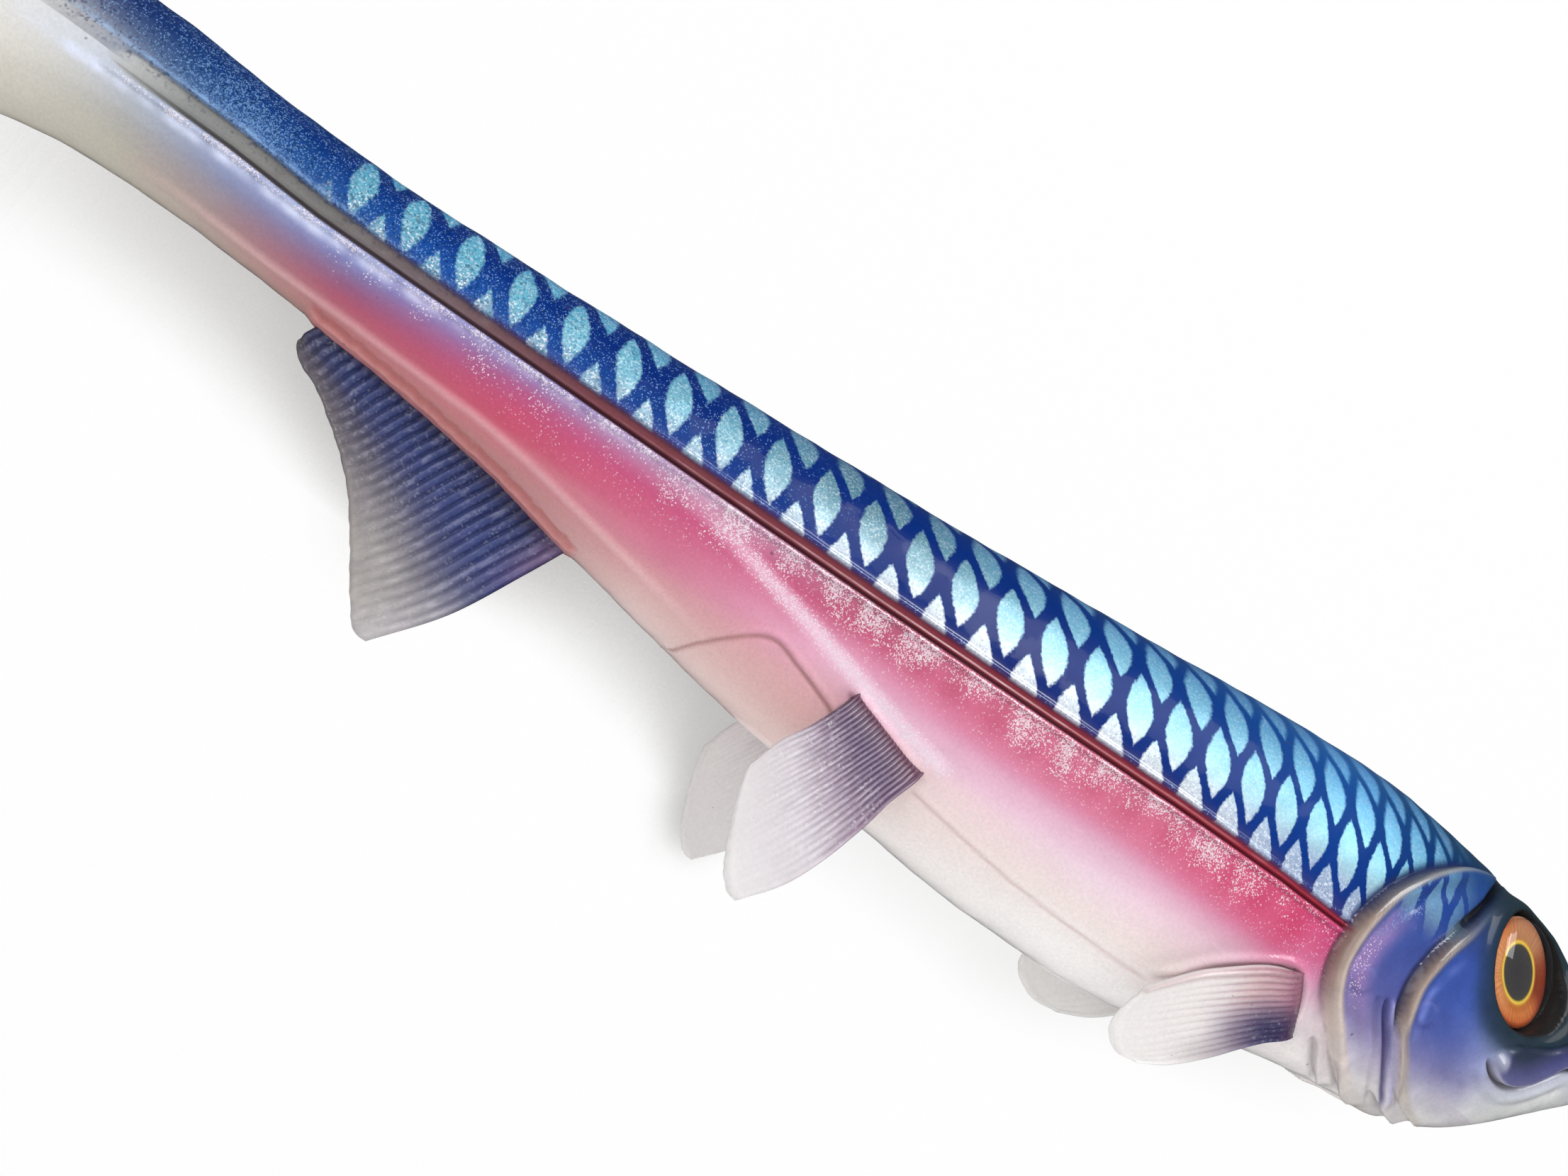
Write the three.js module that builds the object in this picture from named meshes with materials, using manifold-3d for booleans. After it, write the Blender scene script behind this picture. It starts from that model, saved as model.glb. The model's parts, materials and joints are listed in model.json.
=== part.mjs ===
// Paddle-tail swimbait in five bending lengths, with fins, eyes and a keel weight, in millimetres.
// +X runs from tail to nose, +Z is the back, +Y is the lure's left. Heights are worked out from the
// side groove's level, and every piece is then lowered by NOSE_Z, so that the origin is the middle
// of the flat tip of the nose.
import * as THREE from 'three';
import { mergeVertices } from 'three/addons/utils/BufferGeometryUtils.js';
import Module from 'manifold-3d';

// ---- shared dimensions ----
const NOSE_Z = 8;             // height of the nose flat's middle over the side groove's level
const GAP = 0.3;              // clearance between neighbouring solids
const GLUE_GAP = 0.1;         // bond line between the glued-in eye pieces

// ---- body sections ----
const RING_POINTS = 32;       // facets round a cross-section
const TOP_POWER = 2.15;       // roundness of the back half of a cross-section
const BELLY_POWER = 2.2;      // roundness of the belly half of a cross-section
const STATION_SPACING = 0.5;  // stations nearer than this to a loft's end are left out

// x, top z, bottom z, half width, z of the widest line
const PROFILE = [
  [0, 11.2, 5, 3.6, 8], [-1, 12.7, 4, 5, 7.8], [-3, 14.1, 2, 6.4, 7.4],
  [-6, 15.5, -0.5, 7.6, 7], [-10, 16.8, -4, 8.7, 6.3], [-14, 17.9, -6.9, 9.5, 5.6],
  [-18, 18.9, -8.8, 10.1, 5], [-22, 19.8, -10.1, 10.6, 4.5], [-26, 20.5, -11, 11.1, 4],
  [-31, 21, -11.6, 11.7, 3.5], [-36, 21.4, -12.3, 12.2, 3.1], [-40, 21.6, -13.1, 12.5, 2.8],
  [-45, 21.5, -14.4, 12.8, 2.5], [-50, 21.1, -15.9, 12.9, 2.2], [-57, 20.4, -17.6, 13, 1.9],
  [-65, 19.4, -18.2, 12.9, 1.6], [-73, 18.3, -18.2, 12.7, 1.4], [-81, 17.3, -17.9, 12.4, 1.2],
  [-90, 16.3, -17.1, 11.9, 1.1], [-97, 15.4, -16.4, 11.5, 1], [-105, 14.6, -15.6, 10.9, 1],
  [-113, 13.8, -14.6, 10.3, 1], [-120, 13.1, -13.4, 9.8, 1], [-128, 12.4, -12, 9.2, 1],
  [-135, 11.7, -10.8, 8.7, 1], [-142, 11.2, -9.4, 8.2, 1], [-149, 10.6, -8.4, 7.7, 1],
  [-156, 10.1, -7.7, 7.2, 1], [-163, 9.6, -7.2, 6.8, 1], [-170, 9.3, -6.8, 6.4, 1],
  [-176, 9.2, -6.6, 6.1, 1.1], [-182, 9.3, -6.4, 5.8, 1.2], [-189, 9.6, -6.6, 5.5, 1.3],
  [-192, 9.7, -6.8, 5.4, 1.3], [-196, 9.7, -7.2, 5.2, 1.2], [-200, 9.3, -8, 5, 0.9],
];
const PROFILE_END_X = PROFILE.at(-1)[0];
// a station past the nose flat, where the tip is sliced off; same columns
const NOSE_TIP = [0.8, 10.2, 5.8, 2.4, 8];
// the neck that runs from the wrist into the paddle; same columns
const NECK = [
  ...PROFILE.slice(-2), [-205, 8.6, -9.4, 4.6, 0.2], [-210, 7.8, -11, 4.2, -0.8],
  [-215, 6.8, -12.8, 4, -2], [-220, 5.6, -14.4, 4, -3.4],
];

// ---- bends: place, and the half opening in degrees on either neighbour ----
const SHOULDER = { x: -76, wedge: 6 };
const MIDDLE = { x: -124, wedge: 7 };
const TAIL = { x: -168, wedge: 9 };
const WRIST = { x: -198, wedge: 15 };
const OVERRUN = 8;            // how far a length is lofted past its bend before the wedge is cut
const BEND_CUT = { length: 60, halfWidth: 30, height: 90 };

// ---- head details ----
const NOSE_CUT = { length: 20, width: 60 };
const BELLY_FLAT_Z = -17.7;   // height of the small moulded flat on the keel line
const BELLY_CUT = { x: -70, length: 60, width: 40, depth: 10 };
const KEEL = { rearX: -74, frontX: -52, z: -10.8, radius: 3.8, segments: 24 };
const POCKET_REAR_X = -90;    // past the shoulder bend, so the pocket is open at the rear

// ---- eyes: heights are measured from the rim plane, outward along the eye's axis ----
const RIGHT_EYE = { centre: [-20, -9, 11.3], normal: [0.34, -0.89, 0.29] };
const LEFT_EYE = { centre: acrossY(RIGHT_EYE.centre), normal: acrossY(RIGHT_EYE.normal) };
const EYE_SEGMENTS = 32;
const EYE_RADIUS = 6.2;
const SOCKET_FLOOR = -1.7;
const SOCKET_CUT_TOP = 8;     // clear of the head's surface
const FOIL_BASE = SOCKET_FLOOR + GLUE_GAP;
const FOIL_TOP = FOIL_BASE + 0.5;
const LENS_BASE = FOIL_TOP + GLUE_GAP;
// radius as a fraction of the eye's, height over the lens base
const LENS_PROFILE = [[0, 0], [1, 0], [1, 0.5], [0.86, 1.25], [0.6, 1.98], [0.3, 2.38], [0, 2.5]];

// ---- paddle: an oval disc ----
const PADDLE = {
  x: -224,
  z: -6,
  halfHeight: 17,
  halfWidth: 13.5,
  halfThickness: 2.8,
  lean: 14,                   // degrees, lower edge trailing
  rimRounding: 0.12,          // how far the rim draws in at the faces, as a fraction of the radius
  rimSteps: 8,
  segments: 36,
};

// ---- fins ----
// rootRear, rootFront and tip set the blade's plane; outline is its side view (x, z);
// flex is the swing about the root line in degrees, outward positive on the side fins;
// bodySpan is the length of body, rear x and front x, that the blade is trimmed against
const FLEX_STEPS = 8;
const PECTORAL = {
  rootRear: [-46.2, -12.9, -3.9],
  rootFront: [-41.2, -9.2, -9.8],
  tip: [-61, -12.8, -20],
  outline: [
    [-44, -1.5], [-38.6, -8.6], [-43.2, -11.4], [-45.4, -13.6], [-47.9, -16.3],
    [-51.6, -19.4], [-55.3, -21.1], [-59.2, -21.2], [-61.2, -19.6], [-61, -16.6],
    [-59.6, -13.6], [-56.8, -10.4], [-53.7, -8], [-49.6, -5.3], [-47, -3.7],
  ],
  thickness: 1.2,
  flex: [-5, 36],
  bodySpan: [-66, -28],
};
const PELVIC = {
  rootRear: [-101.3, -10.5, -7.4],
  rootFront: [-91.1, -10.3, -10.2],
  tip: [-100.5, -13, -30],
  outline: [
    [-101.2, -5.2], [-90.9, -8], [-91.3, -10.4], [-92.8, -13.8], [-93.8, -17.4], [-95.7, -22.7],
    [-97.8, -26.7], [-99.6, -29.4], [-100.9, -30.3], [-102.2, -30], [-104.1, -27.7],
    [-106.3, -22.4], [-107.1, -19.1], [-105.9, -15.3], [-103.9, -11.9], [-101.8, -7.4],
  ],
  thickness: 1.2,
  flex: [-13, 31],
  bodySpan: [-118, -78],
};
const ANAL = {
  rootRear: [-166.4, 0, -7.6],
  rootFront: [-132.6, 0, -11.7],
  tip: [-144, 0, -30],
  outline: [
    [-166.2, -5], [-132.8, -9], [-132.9, -11.9], [-134.9, -15.6], [-138.7, -23.2],
    [-142.4, -29.2], [-143.9, -30.2], [-145.6, -29.9], [-152, -21.4], [-155.6, -17.3],
    [-161.6, -12.8], [-165.2, -10.9], [-166.3, -9.6], [-166.5, -7.5],
  ],
  thickness: 2,
  flex: [-26, 26],
  bodySpan: [-180, -122],
};

// ---- materials ----
const BODY_FINISH = { roughness: 0.32, metalness: 0 };
const FIN_FINISH = { roughness: 0.35, metalness: 0 };
const MATERIALS = {
  head: { color: 0x3f57ad, ...BODY_FINISH },
  midBody: { color: 0xd4688c, ...BODY_FINISH },
  rearBody: { color: 0xc8708f, ...BODY_FINISH },
  stem: { color: 0x2f5fae, ...BODY_FINISH },
  paddle: { color: 0xd7d4cb, ...BODY_FINISH },
  pectoral: { color: 0xe0d5d8, ...FIN_FINISH },
  pelvic: { color: 0xb9a9ba, ...FIN_FINISH },
  anal: { color: 0x5a5878, ...FIN_FINISH },
  foil: { color: 0xd07a3a, roughness: 0.3, metalness: 0.2 },
  lens: { color: 0xf4f2ea, roughness: 0.05, metalness: 0 },
  ballast: { color: 0x77787a, roughness: 0.5, metalness: 0.8 },
};

const wasm = await Module();
wasm.setup();

// ---- conversions ----
function toSolid(geometry) {
  const bare = geometry.clone();
  for (const key of Object.keys(bare.attributes)) {
    if (key !== 'position') bare.deleteAttribute(key);
  }
  const merged = mergeVertices(bare, 1e-4);
  return new wasm.Manifold(new wasm.Mesh({
    numProp: 3,
    vertProperties: new Float32Array(merged.attributes.position.array),
    triVerts: new Uint32Array(merged.index.array),
  }));
}

function toGeometry(solid) {
  const mesh = solid.getMesh();
  const positions = new Float32Array(mesh.vertProperties);
  const indexed = new THREE.BufferGeometry();
  indexed.setAttribute('position', new THREE.BufferAttribute(positions, 3));
  indexed.setIndex(new THREE.BufferAttribute(new Uint32Array(mesh.triVerts), 1));
  const flat = indexed.toNonIndexed();
  flat.computeVertexNormals();
  return flat;
}

function acrossY([x, y, z]) {
  return [x, -y, z];
}

// reflects an unindexed geometry to the other flank, turning each triangle over to face outward
function mirrored(geometry) {
  const source = geometry.attributes.position;
  const positions = [];
  for (let i = 0; i < source.count; i += 3) {
    for (const corner of [i, i + 2, i + 1]) {
      positions.push(source.getX(corner), -source.getY(corner), source.getZ(corner));
    }
  }
  const mirror = new THREE.BufferGeometry();
  mirror.setAttribute('position', new THREE.Float32BufferAttribute(positions, 3));
  mirror.computeVertexNormals();
  return mirror;
}

// ---- basic shapes ----
// one superellipse cross-section, swelled by a clearance, as flat x, y, z values
function ring([x, top, bottom, halfWidth, widestZ], grow) {
  const positions = [];
  for (let k = 0; k < RING_POINTS; k++) {
    const angle = 2 * Math.PI * k / RING_POINTS;
    const cos = Math.cos(angle);
    const sin = Math.sin(angle);
    const power = 2 / (sin >= 0 ? TOP_POWER : BELLY_POWER);
    const halfHeight = sin >= 0 ? top - widestZ + grow : widestZ - bottom + grow;
    const y = (halfWidth + grow) * Math.sign(cos) * Math.abs(cos) ** power;
    const z = widestZ + halfHeight * Math.sign(sin) * Math.abs(sin) ** power;
    positions.push(x, y, z);
  }
  return positions;
}

// a closed skin over a list of stations
function loft(rows, grow = 0) {
  const stations = [...rows].sort((p, q) => p[0] - q[0]);
  const positions = stations.flatMap((station) => ring(station, grow));
  const rearCentre = positions.length / 3;
  for (const [x, , , , widestZ] of [stations[0], stations.at(-1)]) positions.push(x, 0, widestZ);

  const index = [];
  for (let i = 0; i + 1 < stations.length; i++) {
    for (let k = 0; k < RING_POINTS; k++) {
      const here = i * RING_POINTS + k;
      const beside = i * RING_POINTS + (k + 1) % RING_POINTS;
      const ahead = here + RING_POINTS;
      const diagonal = beside + RING_POINTS;
      index.push(here, beside, diagonal, here, diagonal, ahead);
    }
  }
  const frontRing = (stations.length - 1) * RING_POINTS;
  for (let k = 0; k < RING_POINTS; k++) {
    const next = (k + 1) % RING_POINTS;
    index.push(rearCentre, next, k);
    index.push(rearCentre + 1, frontRing + k, frontRing + next);
  }
  const skin = new THREE.BufferGeometry();
  skin.setAttribute('position', new THREE.Float32BufferAttribute(positions, 3));
  skin.setIndex(index);
  return skin;
}

// the profile's station at any x, interpolated
function rowAt(x) {
  const next = PROFILE.findIndex((row, i) => i > 0 && row[0] <= x);
  const before = PROFILE[next - 1];
  const after = PROFILE[next];
  const t = (before[0] - x) / (before[0] - after[0]);
  return before.map((value, k) => value + t * (after[k] - value));
}

function rowsBetween(rearX, frontX) {
  const inside = PROFILE.filter(([x]) => (
    x > rearX + STATION_SPACING && x < frontX - STATION_SPACING
  ));
  return [...inside, rowAt(rearX), rowAt(frontX)];
}

// an outline extruded evenly to both sides of its own plane
function slab(outline, thickness) {
  const shape = new THREE.Shape(outline.map(([x, y]) => new THREE.Vector2(x, y)));
  shape.closePath();
  const geometry = new THREE.ExtrudeGeometry(shape, { depth: thickness, bevelEnabled: false });
  return geometry.translate(0, 0, -thickness / 2);
}

function box(centre, size) {
  return toSolid(new THREE.BoxGeometry(...size).translate(...centre));
}

// turns a profile of (radius, height) points about +Y
function lathe(profile, segments) {
  const points = profile.map(([radius, height]) => new THREE.Vector2(radius, height));
  return new THREE.LatheGeometry(points, segments);
}

// ---- body lengths ----
// everything tailward (side -1) or headward (side +1) of a bend, as a prism to be cut away:
// its face leaves the bend axis at the wedge angle on both flanks
function beyondBend({ x, wedge }, side) {
  const { length, halfWidth, height } = BEND_CUT;
  const apex = x - side * GAP / 2;
  const flank = apex - side * halfWidth * Math.tan(THREE.MathUtils.degToRad(wedge));
  const far = apex + side * length;
  const outline = [
    [apex, 0], [flank, halfWidth], [far, halfWidth], [far, -halfWidth], [flank, -halfWidth],
  ];
  return toSolid(slab(outline, height));
}

const tailwardOf = (bend) => beyondBend(bend, -1);
const headwardOf = (bend) => beyondBend(bend, 1);

function belowBellyFlat() {
  const { x, length, width, depth } = BELLY_CUT;
  return box([x, 0, BELLY_FLAT_Z - depth / 2], [length, width, depth]);
}

function headAndShoulders() {
  const rows = [...rowsBetween(SHOULDER.x - OVERRUN, 0), NOSE_TIP];
  const { length, width } = NOSE_CUT;
  return toSolid(loft(rows))
    .subtract(box([length / 2, 0, 0], [length, width, width]))
    .subtract(tailwardOf(SHOULDER))
    .subtract(belowBellyFlat())
    .subtract(keelRod(POCKET_REAR_X, KEEL.frontX + GAP, KEEL.radius + GAP))
    .subtract(socket(RIGHT_EYE))
    .subtract(socket(LEFT_EYE));
}

function midBody() {
  return toSolid(loft(rowsBetween(MIDDLE.x - OVERRUN, SHOULDER.x + OVERRUN)))
    .subtract(headwardOf(SHOULDER))
    .subtract(tailwardOf(MIDDLE))
    .subtract(belowBellyFlat());
}

function rearBody() {
  return toSolid(loft(rowsBetween(TAIL.x - OVERRUN, MIDDLE.x + OVERRUN)))
    .subtract(headwardOf(MIDDLE))
    .subtract(tailwardOf(TAIL));
}

function tailStem() {
  return toSolid(loft(rowsBetween(PROFILE_END_X, TAIL.x + OVERRUN)))
    .subtract(headwardOf(TAIL))
    .subtract(tailwardOf(WRIST));
}

// ---- paddle ----
// turned at unit radius, stretched to an oval, then stood up across the body and leaned
function paddleDisc() {
  const { halfThickness, rimRounding, rimSteps } = PADDLE;
  const rim = [];
  for (let i = 0; i <= rimSteps; i++) {
    const angle = -Math.PI / 2 + Math.PI * i / rimSteps;
    const radius = 1 - rimRounding * (1 - Math.cos(angle));
    rim.push([radius, halfThickness * Math.sin(angle)]);
  }
  const disc = lathe([[0, -halfThickness], ...rim, [0, halfThickness]], PADDLE.segments);
  disc.scale(PADDLE.halfWidth, 1, PADDLE.halfHeight);
  disc.rotateZ(Math.PI / 2);
  disc.rotateY(THREE.MathUtils.degToRad(PADDLE.lean));
  return toSolid(disc.translate(PADDLE.x, 0, PADDLE.z));
}

function tailPaddle() {
  return toSolid(loft(NECK)).subtract(headwardOf(WRIST)).add(paddleDisc());
}

// ---- keel weight and its pocket, low in the chest ----
function keelRod(rearX, frontX, radius) {
  const rod = new THREE.CylinderGeometry(radius, radius, frontX - rearX, KEEL.segments);
  rod.rotateZ(Math.PI / 2);
  return toSolid(rod.translate((rearX + frontX) / 2, 0, KEEL.z));
}

// ---- fins ----
// a flat blade whose plane holds the root line and the tip
function blade({ rootRear, rootFront, tip, outline, thickness }) {
  const root = new THREE.Vector3(...rootRear);
  const along = new THREE.Vector3(...rootFront).sub(root).normalize();
  const toTip = new THREE.Vector3(...tip).sub(root);
  const normal = new THREE.Vector3().crossVectors(along, toTip).normalize();
  const outward = new THREE.Vector3().crossVectors(normal, along).normalize();
  const inPlane = outline.map(([x, z]) => {
    const y = root.y - (normal.x * (x - root.x) + normal.z * (z - root.z)) / normal.y;
    const point = new THREE.Vector3(x, y, z).sub(root);
    return [point.dot(along), point.dot(outward)];
  });
  const placement = new THREE.Matrix4().makeBasis(along, outward, normal).setPosition(root);
  return toSolid(slab(inPlane, thickness).applyMatrix4(placement));
}

// a blade trimmed clear of the body over its whole swing, by cutting with the body turned the
// opposite way. On the right side a turn that is positive about the root line swings the tip
// inward, so the body is turned by the flex angle itself.
function trimmedFin(fin) {
  const body = loft(rowsBetween(...fin.bodySpan), GAP);
  const root = new THREE.Vector3(...fin.rootRear);
  const axis = new THREE.Vector3(...fin.rootFront).sub(root).normalize();
  const [inmost, outmost] = fin.flex;
  let trimmed = blade(fin).subtract(toSolid(body));
  for (let i = 0; i <= FLEX_STEPS; i++) {
    const angle = THREE.MathUtils.degToRad(inmost + (outmost - inmost) * i / FLEX_STEPS);
    const swing = new THREE.Matrix4().makeTranslation(root.x, root.y, root.z)
      .multiply(new THREE.Matrix4().makeRotationAxis(axis, angle))
      .multiply(new THREE.Matrix4().makeTranslation(-root.x, -root.y, -root.z));
    trimmed = trimmed.subtract(toSolid(body.clone().applyMatrix4(swing)));
  }
  return trimmed;
}

// ---- eyes: a foil disc under a clear dome, set in a round socket ----
function turnedAtEye(profile, { centre, normal }) {
  const up = new THREE.Vector3(0, 1, 0);
  const axis = new THREE.Vector3(...normal).normalize();
  const geometry = lathe(profile, EYE_SEGMENTS);
  geometry.applyQuaternion(new THREE.Quaternion().setFromUnitVectors(up, axis));
  return toSolid(geometry.translate(...centre));
}

function discProfile(radius, base, top) {
  return [[0, base], [radius, base], [radius, top], [0, top]];
}

function socket(eye) {
  return turnedAtEye(discProfile(EYE_RADIUS + GAP, SOCKET_FLOOR, SOCKET_CUT_TOP), eye);
}

function eyeFoil() {
  return turnedAtEye(discProfile(EYE_RADIUS, FOIL_BASE, FOIL_TOP), RIGHT_EYE);
}

function eyeLens() {
  const profile = LENS_PROFILE.map(([fraction, height]) => (
    [EYE_RADIUS * fraction, LENS_BASE + height]
  ));
  return turnedAtEye(profile, RIGHT_EYE);
}

// ---- assembly ----
const group = new THREE.Group();

function addMesh(name, geometry, material) {
  geometry.translate(0, 0, -NOSE_Z);
  const mesh = new THREE.Mesh(geometry, new THREE.MeshStandardMaterial(material));
  mesh.name = name;
  group.add(mesh);
}

function addPiece(name, solid, material) {
  addMesh(name, toGeometry(solid), material);
}

function addPair(name, rightSolid, material) {
  const right = toGeometry(rightSolid);
  addMesh(`${name}_left`, mirrored(right), material);
  addMesh(`${name}_right`, right, material);
}

addPiece('head_and_shoulders', headAndShoulders(), MATERIALS.head);
addPiece('mid_body', midBody(), MATERIALS.midBody);
addPiece('rear_body', rearBody(), MATERIALS.rearBody);
addPiece('tail_stem', tailStem(), MATERIALS.stem);
addPiece('tail_paddle', tailPaddle(), MATERIALS.paddle);
addPair('pectoral_fin', trimmedFin(PECTORAL), MATERIALS.pectoral);
addPair('pelvic_fin', trimmedFin(PELVIC), MATERIALS.pelvic);
addPiece('anal_fin', trimmedFin(ANAL), MATERIALS.anal);
addPair('eye_foil', eyeFoil(), MATERIALS.foil);
addPair('eye_lens', eyeLens(), MATERIALS.lens);
addPiece('keel_ballast', keelRod(KEEL.rearX, KEEL.frontX, KEEL.radius), MATERIALS.ballast);

export default group;
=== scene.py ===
# Paddle-tail swimbait: one soft casting, five fins, two domed eyes.
# Working units are millimetres. x is 0 at the nose flat and falls towards the tail, the right
# side is at -y, z is up. "arc" is the distance up a section's outline from the side groove.
import json
import math
from types import SimpleNamespace

import bpy
import numpy as np
from mathutils import Matrix, Vector


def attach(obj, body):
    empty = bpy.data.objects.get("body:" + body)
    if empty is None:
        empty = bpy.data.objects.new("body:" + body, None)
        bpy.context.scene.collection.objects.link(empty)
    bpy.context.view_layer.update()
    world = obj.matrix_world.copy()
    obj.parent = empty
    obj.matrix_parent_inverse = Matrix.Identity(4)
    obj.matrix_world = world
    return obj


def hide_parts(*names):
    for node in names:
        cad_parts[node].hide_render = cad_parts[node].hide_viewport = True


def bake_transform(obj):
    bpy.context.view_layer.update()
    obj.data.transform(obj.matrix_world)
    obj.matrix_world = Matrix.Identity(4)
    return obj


NOSE_HEIGHT = 8.0        # z of the middle of the nose flat

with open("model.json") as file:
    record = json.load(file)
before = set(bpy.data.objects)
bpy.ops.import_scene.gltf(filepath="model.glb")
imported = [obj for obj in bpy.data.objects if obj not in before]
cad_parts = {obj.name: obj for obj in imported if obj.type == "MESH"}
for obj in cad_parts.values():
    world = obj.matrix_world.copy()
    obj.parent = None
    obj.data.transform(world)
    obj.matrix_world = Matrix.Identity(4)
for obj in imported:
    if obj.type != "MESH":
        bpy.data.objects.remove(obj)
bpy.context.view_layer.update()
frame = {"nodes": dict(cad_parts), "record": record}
mounts = {mount["name"]: mount["pos_m"] for mount in frame["record"]["mounts"]}
ORIGIN = np.array(Vector(mounts["nose_hitch"])) - (0, 0, NOSE_HEIGHT * 0.001)
rng = np.random.default_rng(7)
scene = bpy.context.scene


# ------------------------------------------------------------------ tools
def to_row(point):
    """working millimetres to row metres"""
    return np.asarray(point, float) * 0.001 + ORIGIN


def smooth_table(x, table):
    """monotone cubic through a table whose first column rises"""
    knots, values = table[:, 0], table[:, 1:]
    gaps = np.diff(knots)[:, None]
    rises = np.diff(values, axis=0) / gaps
    slopes = np.zeros_like(values)
    slopes[0], slopes[-1] = rises[0], rises[-1]
    for i in range(1, len(knots) - 1):
        weight_before, weight_after = 2 * gaps[i] + gaps[i - 1], gaps[i] + 2 * gaps[i - 1]
        same_way = rises[i - 1] * rises[i] > 0
        before, after = (np.where(same_way, rise, 1) for rise in (rises[i - 1], rises[i]))
        slopes[i] = np.where(same_way, (weight_before + weight_after)
                             / (weight_before / before + weight_after / after), 0)
    x = np.clip(x, knots[0], knots[-1])
    i = np.clip(np.searchsorted(knots, x, side="right") - 1, 0, len(knots) - 2)
    gap = gaps[i]
    t = (x - knots[i])[:, None] / gap
    return (values[i] * (2 * t ** 3 - 3 * t ** 2 + 1) + slopes[i] * gap * (t ** 3 - 2 * t ** 2 + t)
            + values[i + 1] * (-2 * t ** 3 + 3 * t ** 2) + slopes[i + 1] * gap * (t ** 3 - t ** 2))


def lerp(x, table):
    """straight lines through (x, value) points"""
    knots, values = np.array(table, float).T
    return np.interp(x, knots, values)


def ramp(start, end, v):
    """0 at start, 1 at end, eased at both"""
    t = np.clip((v - start) / (end - start), 0, 1)
    return t * t * (3 - 2 * t)


def bump(v, half):
    """1 in the middle, 0 beyond half"""
    t = np.clip(1 - np.abs(v) / half, 0, 1)
    return t * t * (3 - 2 * t)


def fade(share, rise, full, fall, end, drop=1):
    """rises to 1, then falls by drop, along a line"""
    return ramp(rise, full, share) * (1 - drop * ramp(fall, end, share))


def plate(v, height, start, full, crest, fall):
    """a step up that dies away beyond its crest"""
    return height * ramp(start, full, v) * np.exp(-np.maximum(v - crest, 0) / fall)


def half_wave(v, width):
    return np.sin(np.pi * np.clip(v / width, 0, 1))


def trail(v, length):
    """1 for positive v, dying away below 0"""
    return np.exp(np.minimum(v, 0) / length)


def rounded(v, radius):
    """quarter round from 0 at v = 0 to 1 at the radius"""
    return np.sqrt(np.clip(1 - (1 - np.clip(v / radius, 0, 1)) ** 2, 0, 1))


def spline(points, steps=14):
    """a smooth polyline through the points"""
    p = np.asarray(points, float)
    p = np.vstack([2 * p[0] - p[1], p, 2 * p[-1] - p[-2]])
    line = []
    for i in range(1, len(p) - 2):
        for t in np.linspace(0, 1, steps, endpoint=False):
            line.append(0.5 * (2 * p[i] + (p[i + 1] - p[i - 1]) * t
                               + (2 * p[i - 1] - 5 * p[i] + 4 * p[i + 1] - p[i + 2]) * t ** 2
                               + (3 * p[i] - p[i - 1] - 3 * p[i + 1] + p[i + 2]) * t ** 3))
    line.append(p[-2])
    return np.array(line)


def to_curve(across, height, points, reach):
    """distance (positive left of the direction of travel) and share along the smooth line"""
    line = spline(points)
    low, high = line.min(0) - reach, line.max(0) + reach
    near = (across > low[0]) & (across < high[0]) & (height > low[1]) & (height < high[1])
    a, h = across[near], height[near]
    nearest, side, along = np.full(a.shape, 1e6), np.ones(a.shape), np.zeros(a.shape)
    count = len(line) - 1
    for i in range(count):
        start, step = line[i], line[i + 1] - line[i]
        t = ((a - start[0]) * step[0] + (h - start[1]) * step[1]) / (step @ step)
        t = np.clip(t, 0, 1)
        off_a, off_h = a - start[0] - t * step[0], h - start[1] - t * step[1]
        gap = np.hypot(off_a, off_h)
        better = gap < nearest
        nearest = np.where(better, gap, nearest)
        left = step[0] * off_h - step[1] * off_a >= 0
        side = np.where(better, np.where(left, 1.0, -1.0), side)
        along = np.where(better, (i + t) / count, along)
    distance, share = np.full(across.shape, 1e6), np.zeros(across.shape)
    distance[near], share[near] = nearest * side, along
    return distance, share


def mix(below, above, amount):
    amount = np.asarray(amount)[..., None]
    return below * (1 - amount) + np.asarray(above, float) * amount


def stops_1d(v, stops):
    """display colour at v between (v, red, green, blue) stops"""
    stops = np.array(sorted(stops), float)
    return np.stack([np.interp(v, stops[:, 0], stops[:, i]) for i in (1, 2, 3)], axis=-1)


def table_2d(x, arc, columns):
    """colour from columns (x, stops along the arc) in rising x; straight lines both ways"""
    colour = np.zeros(x.shape + (3,))
    place = np.interp(x, [column[0] for column in columns], np.arange(len(columns)))
    for i, (_, stops) in enumerate(columns):
        colour += np.clip(1 - np.abs(place - i), 0, 1)[..., None] * stops_1d(arc, stops)
    return colour


def linear(display):
    """0..255 display values to linear light"""
    c = np.clip(np.asarray(display, float) / 255.0, 0, 1)
    return np.where(c <= 0.04045, c / 12.92, ((c + 0.055) / 1.055) ** 2.4)


def opaque(rgb):
    return np.concatenate([rgb, np.ones(rgb.shape[:-1] + (1,))], axis=-1)


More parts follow.
